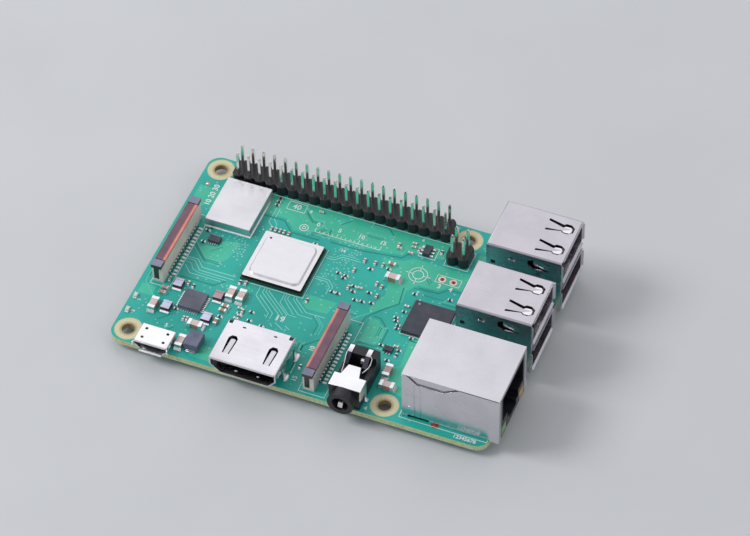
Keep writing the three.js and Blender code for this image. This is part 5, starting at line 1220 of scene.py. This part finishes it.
UNDER_NUMBERS = [
    ("1", 8, 48.6, 1.4), ("2", 8, 50.9, 1.4), ("39", 57.2, 48.6, 1.4), ("8", 75, 20, 1.4),
    ("4", 75, 38, 1.4), ("20", 40, 8, 1.6), ("30", 50, 36, 1.6), ("12", 12, 38.6, 1.4), ("16", 22, 12, 1.4),
]
for shape, rows in ((ink, NUMBERS), (under_ink, UNDER_NUMBERS)):
    for row in rows:
        number(shape, *row)
ink.piece("silkscreen_top", [SILK])
under_ink.piece("silkscreen_under", [SILK])

# Light, floor and camera

CAMERA_PLACE = Vector((0.199276, -0.458803, 0.576298))
CAMERA_BACK = Vector((0.25715, -0.61258, 0.74741))
CAMERA_RIGHT = Vector((0.92819, 0.37181, -0.01462))
CAMERA_LENS = 172.77
SENSOR_WIDTH = 36.0


def aimed(place, back, right):
    back = back.normalized()
    up = back.cross(right).normalized()
    right = up.cross(back)
    turn = Matrix((right, up, back)).transposed().to_4x4()
    return Matrix.Translation(place) @ turn


camera = in_scene("camera", bpy.data.cameras.new("camera"))
camera.data.lens = CAMERA_LENS
camera.data.sensor_width = SENSOR_WIDTH
camera.data.sensor_fit = "HORIZONTAL"
camera.data.clip_start = 0.01
camera.data.clip_end = 20.0
camera.matrix_world = aimed(CAMERA_PLACE, CAMERA_BACK, CAMERA_RIGHT)
bpy.context.scene.camera = camera

FLOOR_HALF, FLOOR_DROP = 3.0, 0.0001
floor_mesh = bpy.data.meshes.new("floor")
floor_mesh.from_pydata([(u * FLOOR_HALF, v * FLOOR_HALF, -FLOOR_DROP) for u, v in SQUARE], [], [(0, 1, 2, 3)])
floor = in_scene("floor", floor_mesh)
paper = Finish("floor_paper", Roughness=0.9)
paper.feed("Base Color", paper.ramp(paper.noise(40.0), (0.3, (0.58, 0.59, 0.61)), (0.7, (0.61, 0.62, 0.64))))
floor_mesh.materials.append(paper.material)

LAMP_AIM = Vector((0, 0, 0.005))
WHITE, COOL = (1, 1, 1), (0.98, 0.97, 1.0)


def lamp(name, place, size_x, size_y, radiance, colour=WHITE):
    data = bpy.data.lights.new(name, "AREA")
    data.shape = "RECTANGLE"
    data.size, data.size_y = size_x, size_y
    data.energy = radiance * math.pi * size_x * size_y
    data.color = colour
    back = (Vector(place) - LAMP_AIM).normalized()
    in_scene(name, data).matrix_world = aimed(Vector(place), back, Vector((0, 0, 1)).cross(back))


# The way that the level board mirrors the camera's view: the soft lamps behind stand there.
MIRROR = Vector((-CAMERA_BACK.x, -CAMERA_BACK.y, CAMERA_BACK.z))
lamp("rear_softbox", MIRROR * 0.9, 1.1, 0.9, 0.42, COOL)
lamp("rear_left_softbox", MIRROR * 0.9 + Vector((-0.3, -0.1, 0.0)), 0.6, 0.7, 0.35, COOL)
lamp("key_softbox", (-0.7, -0.25, 0.75), 0.4, 0.4, 10.0)
lamp("side_softbox", (0.85, 0.1, 0.45), 1.0, 0.9, 0.49)

world = bpy.data.worlds.new("studio")
bpy.context.scene.world = world
world.use_nodes = True
sky = world.node_tree.nodes["Background"]
sky.inputs["Color"].default_value = (0.94, 0.96, 1.0, 1.0)
sky.inputs["Strength"].default_value = 0.5

bpy.context.scene.view_settings.view_transform = "Standard"
bpy.context.view_layer.update()
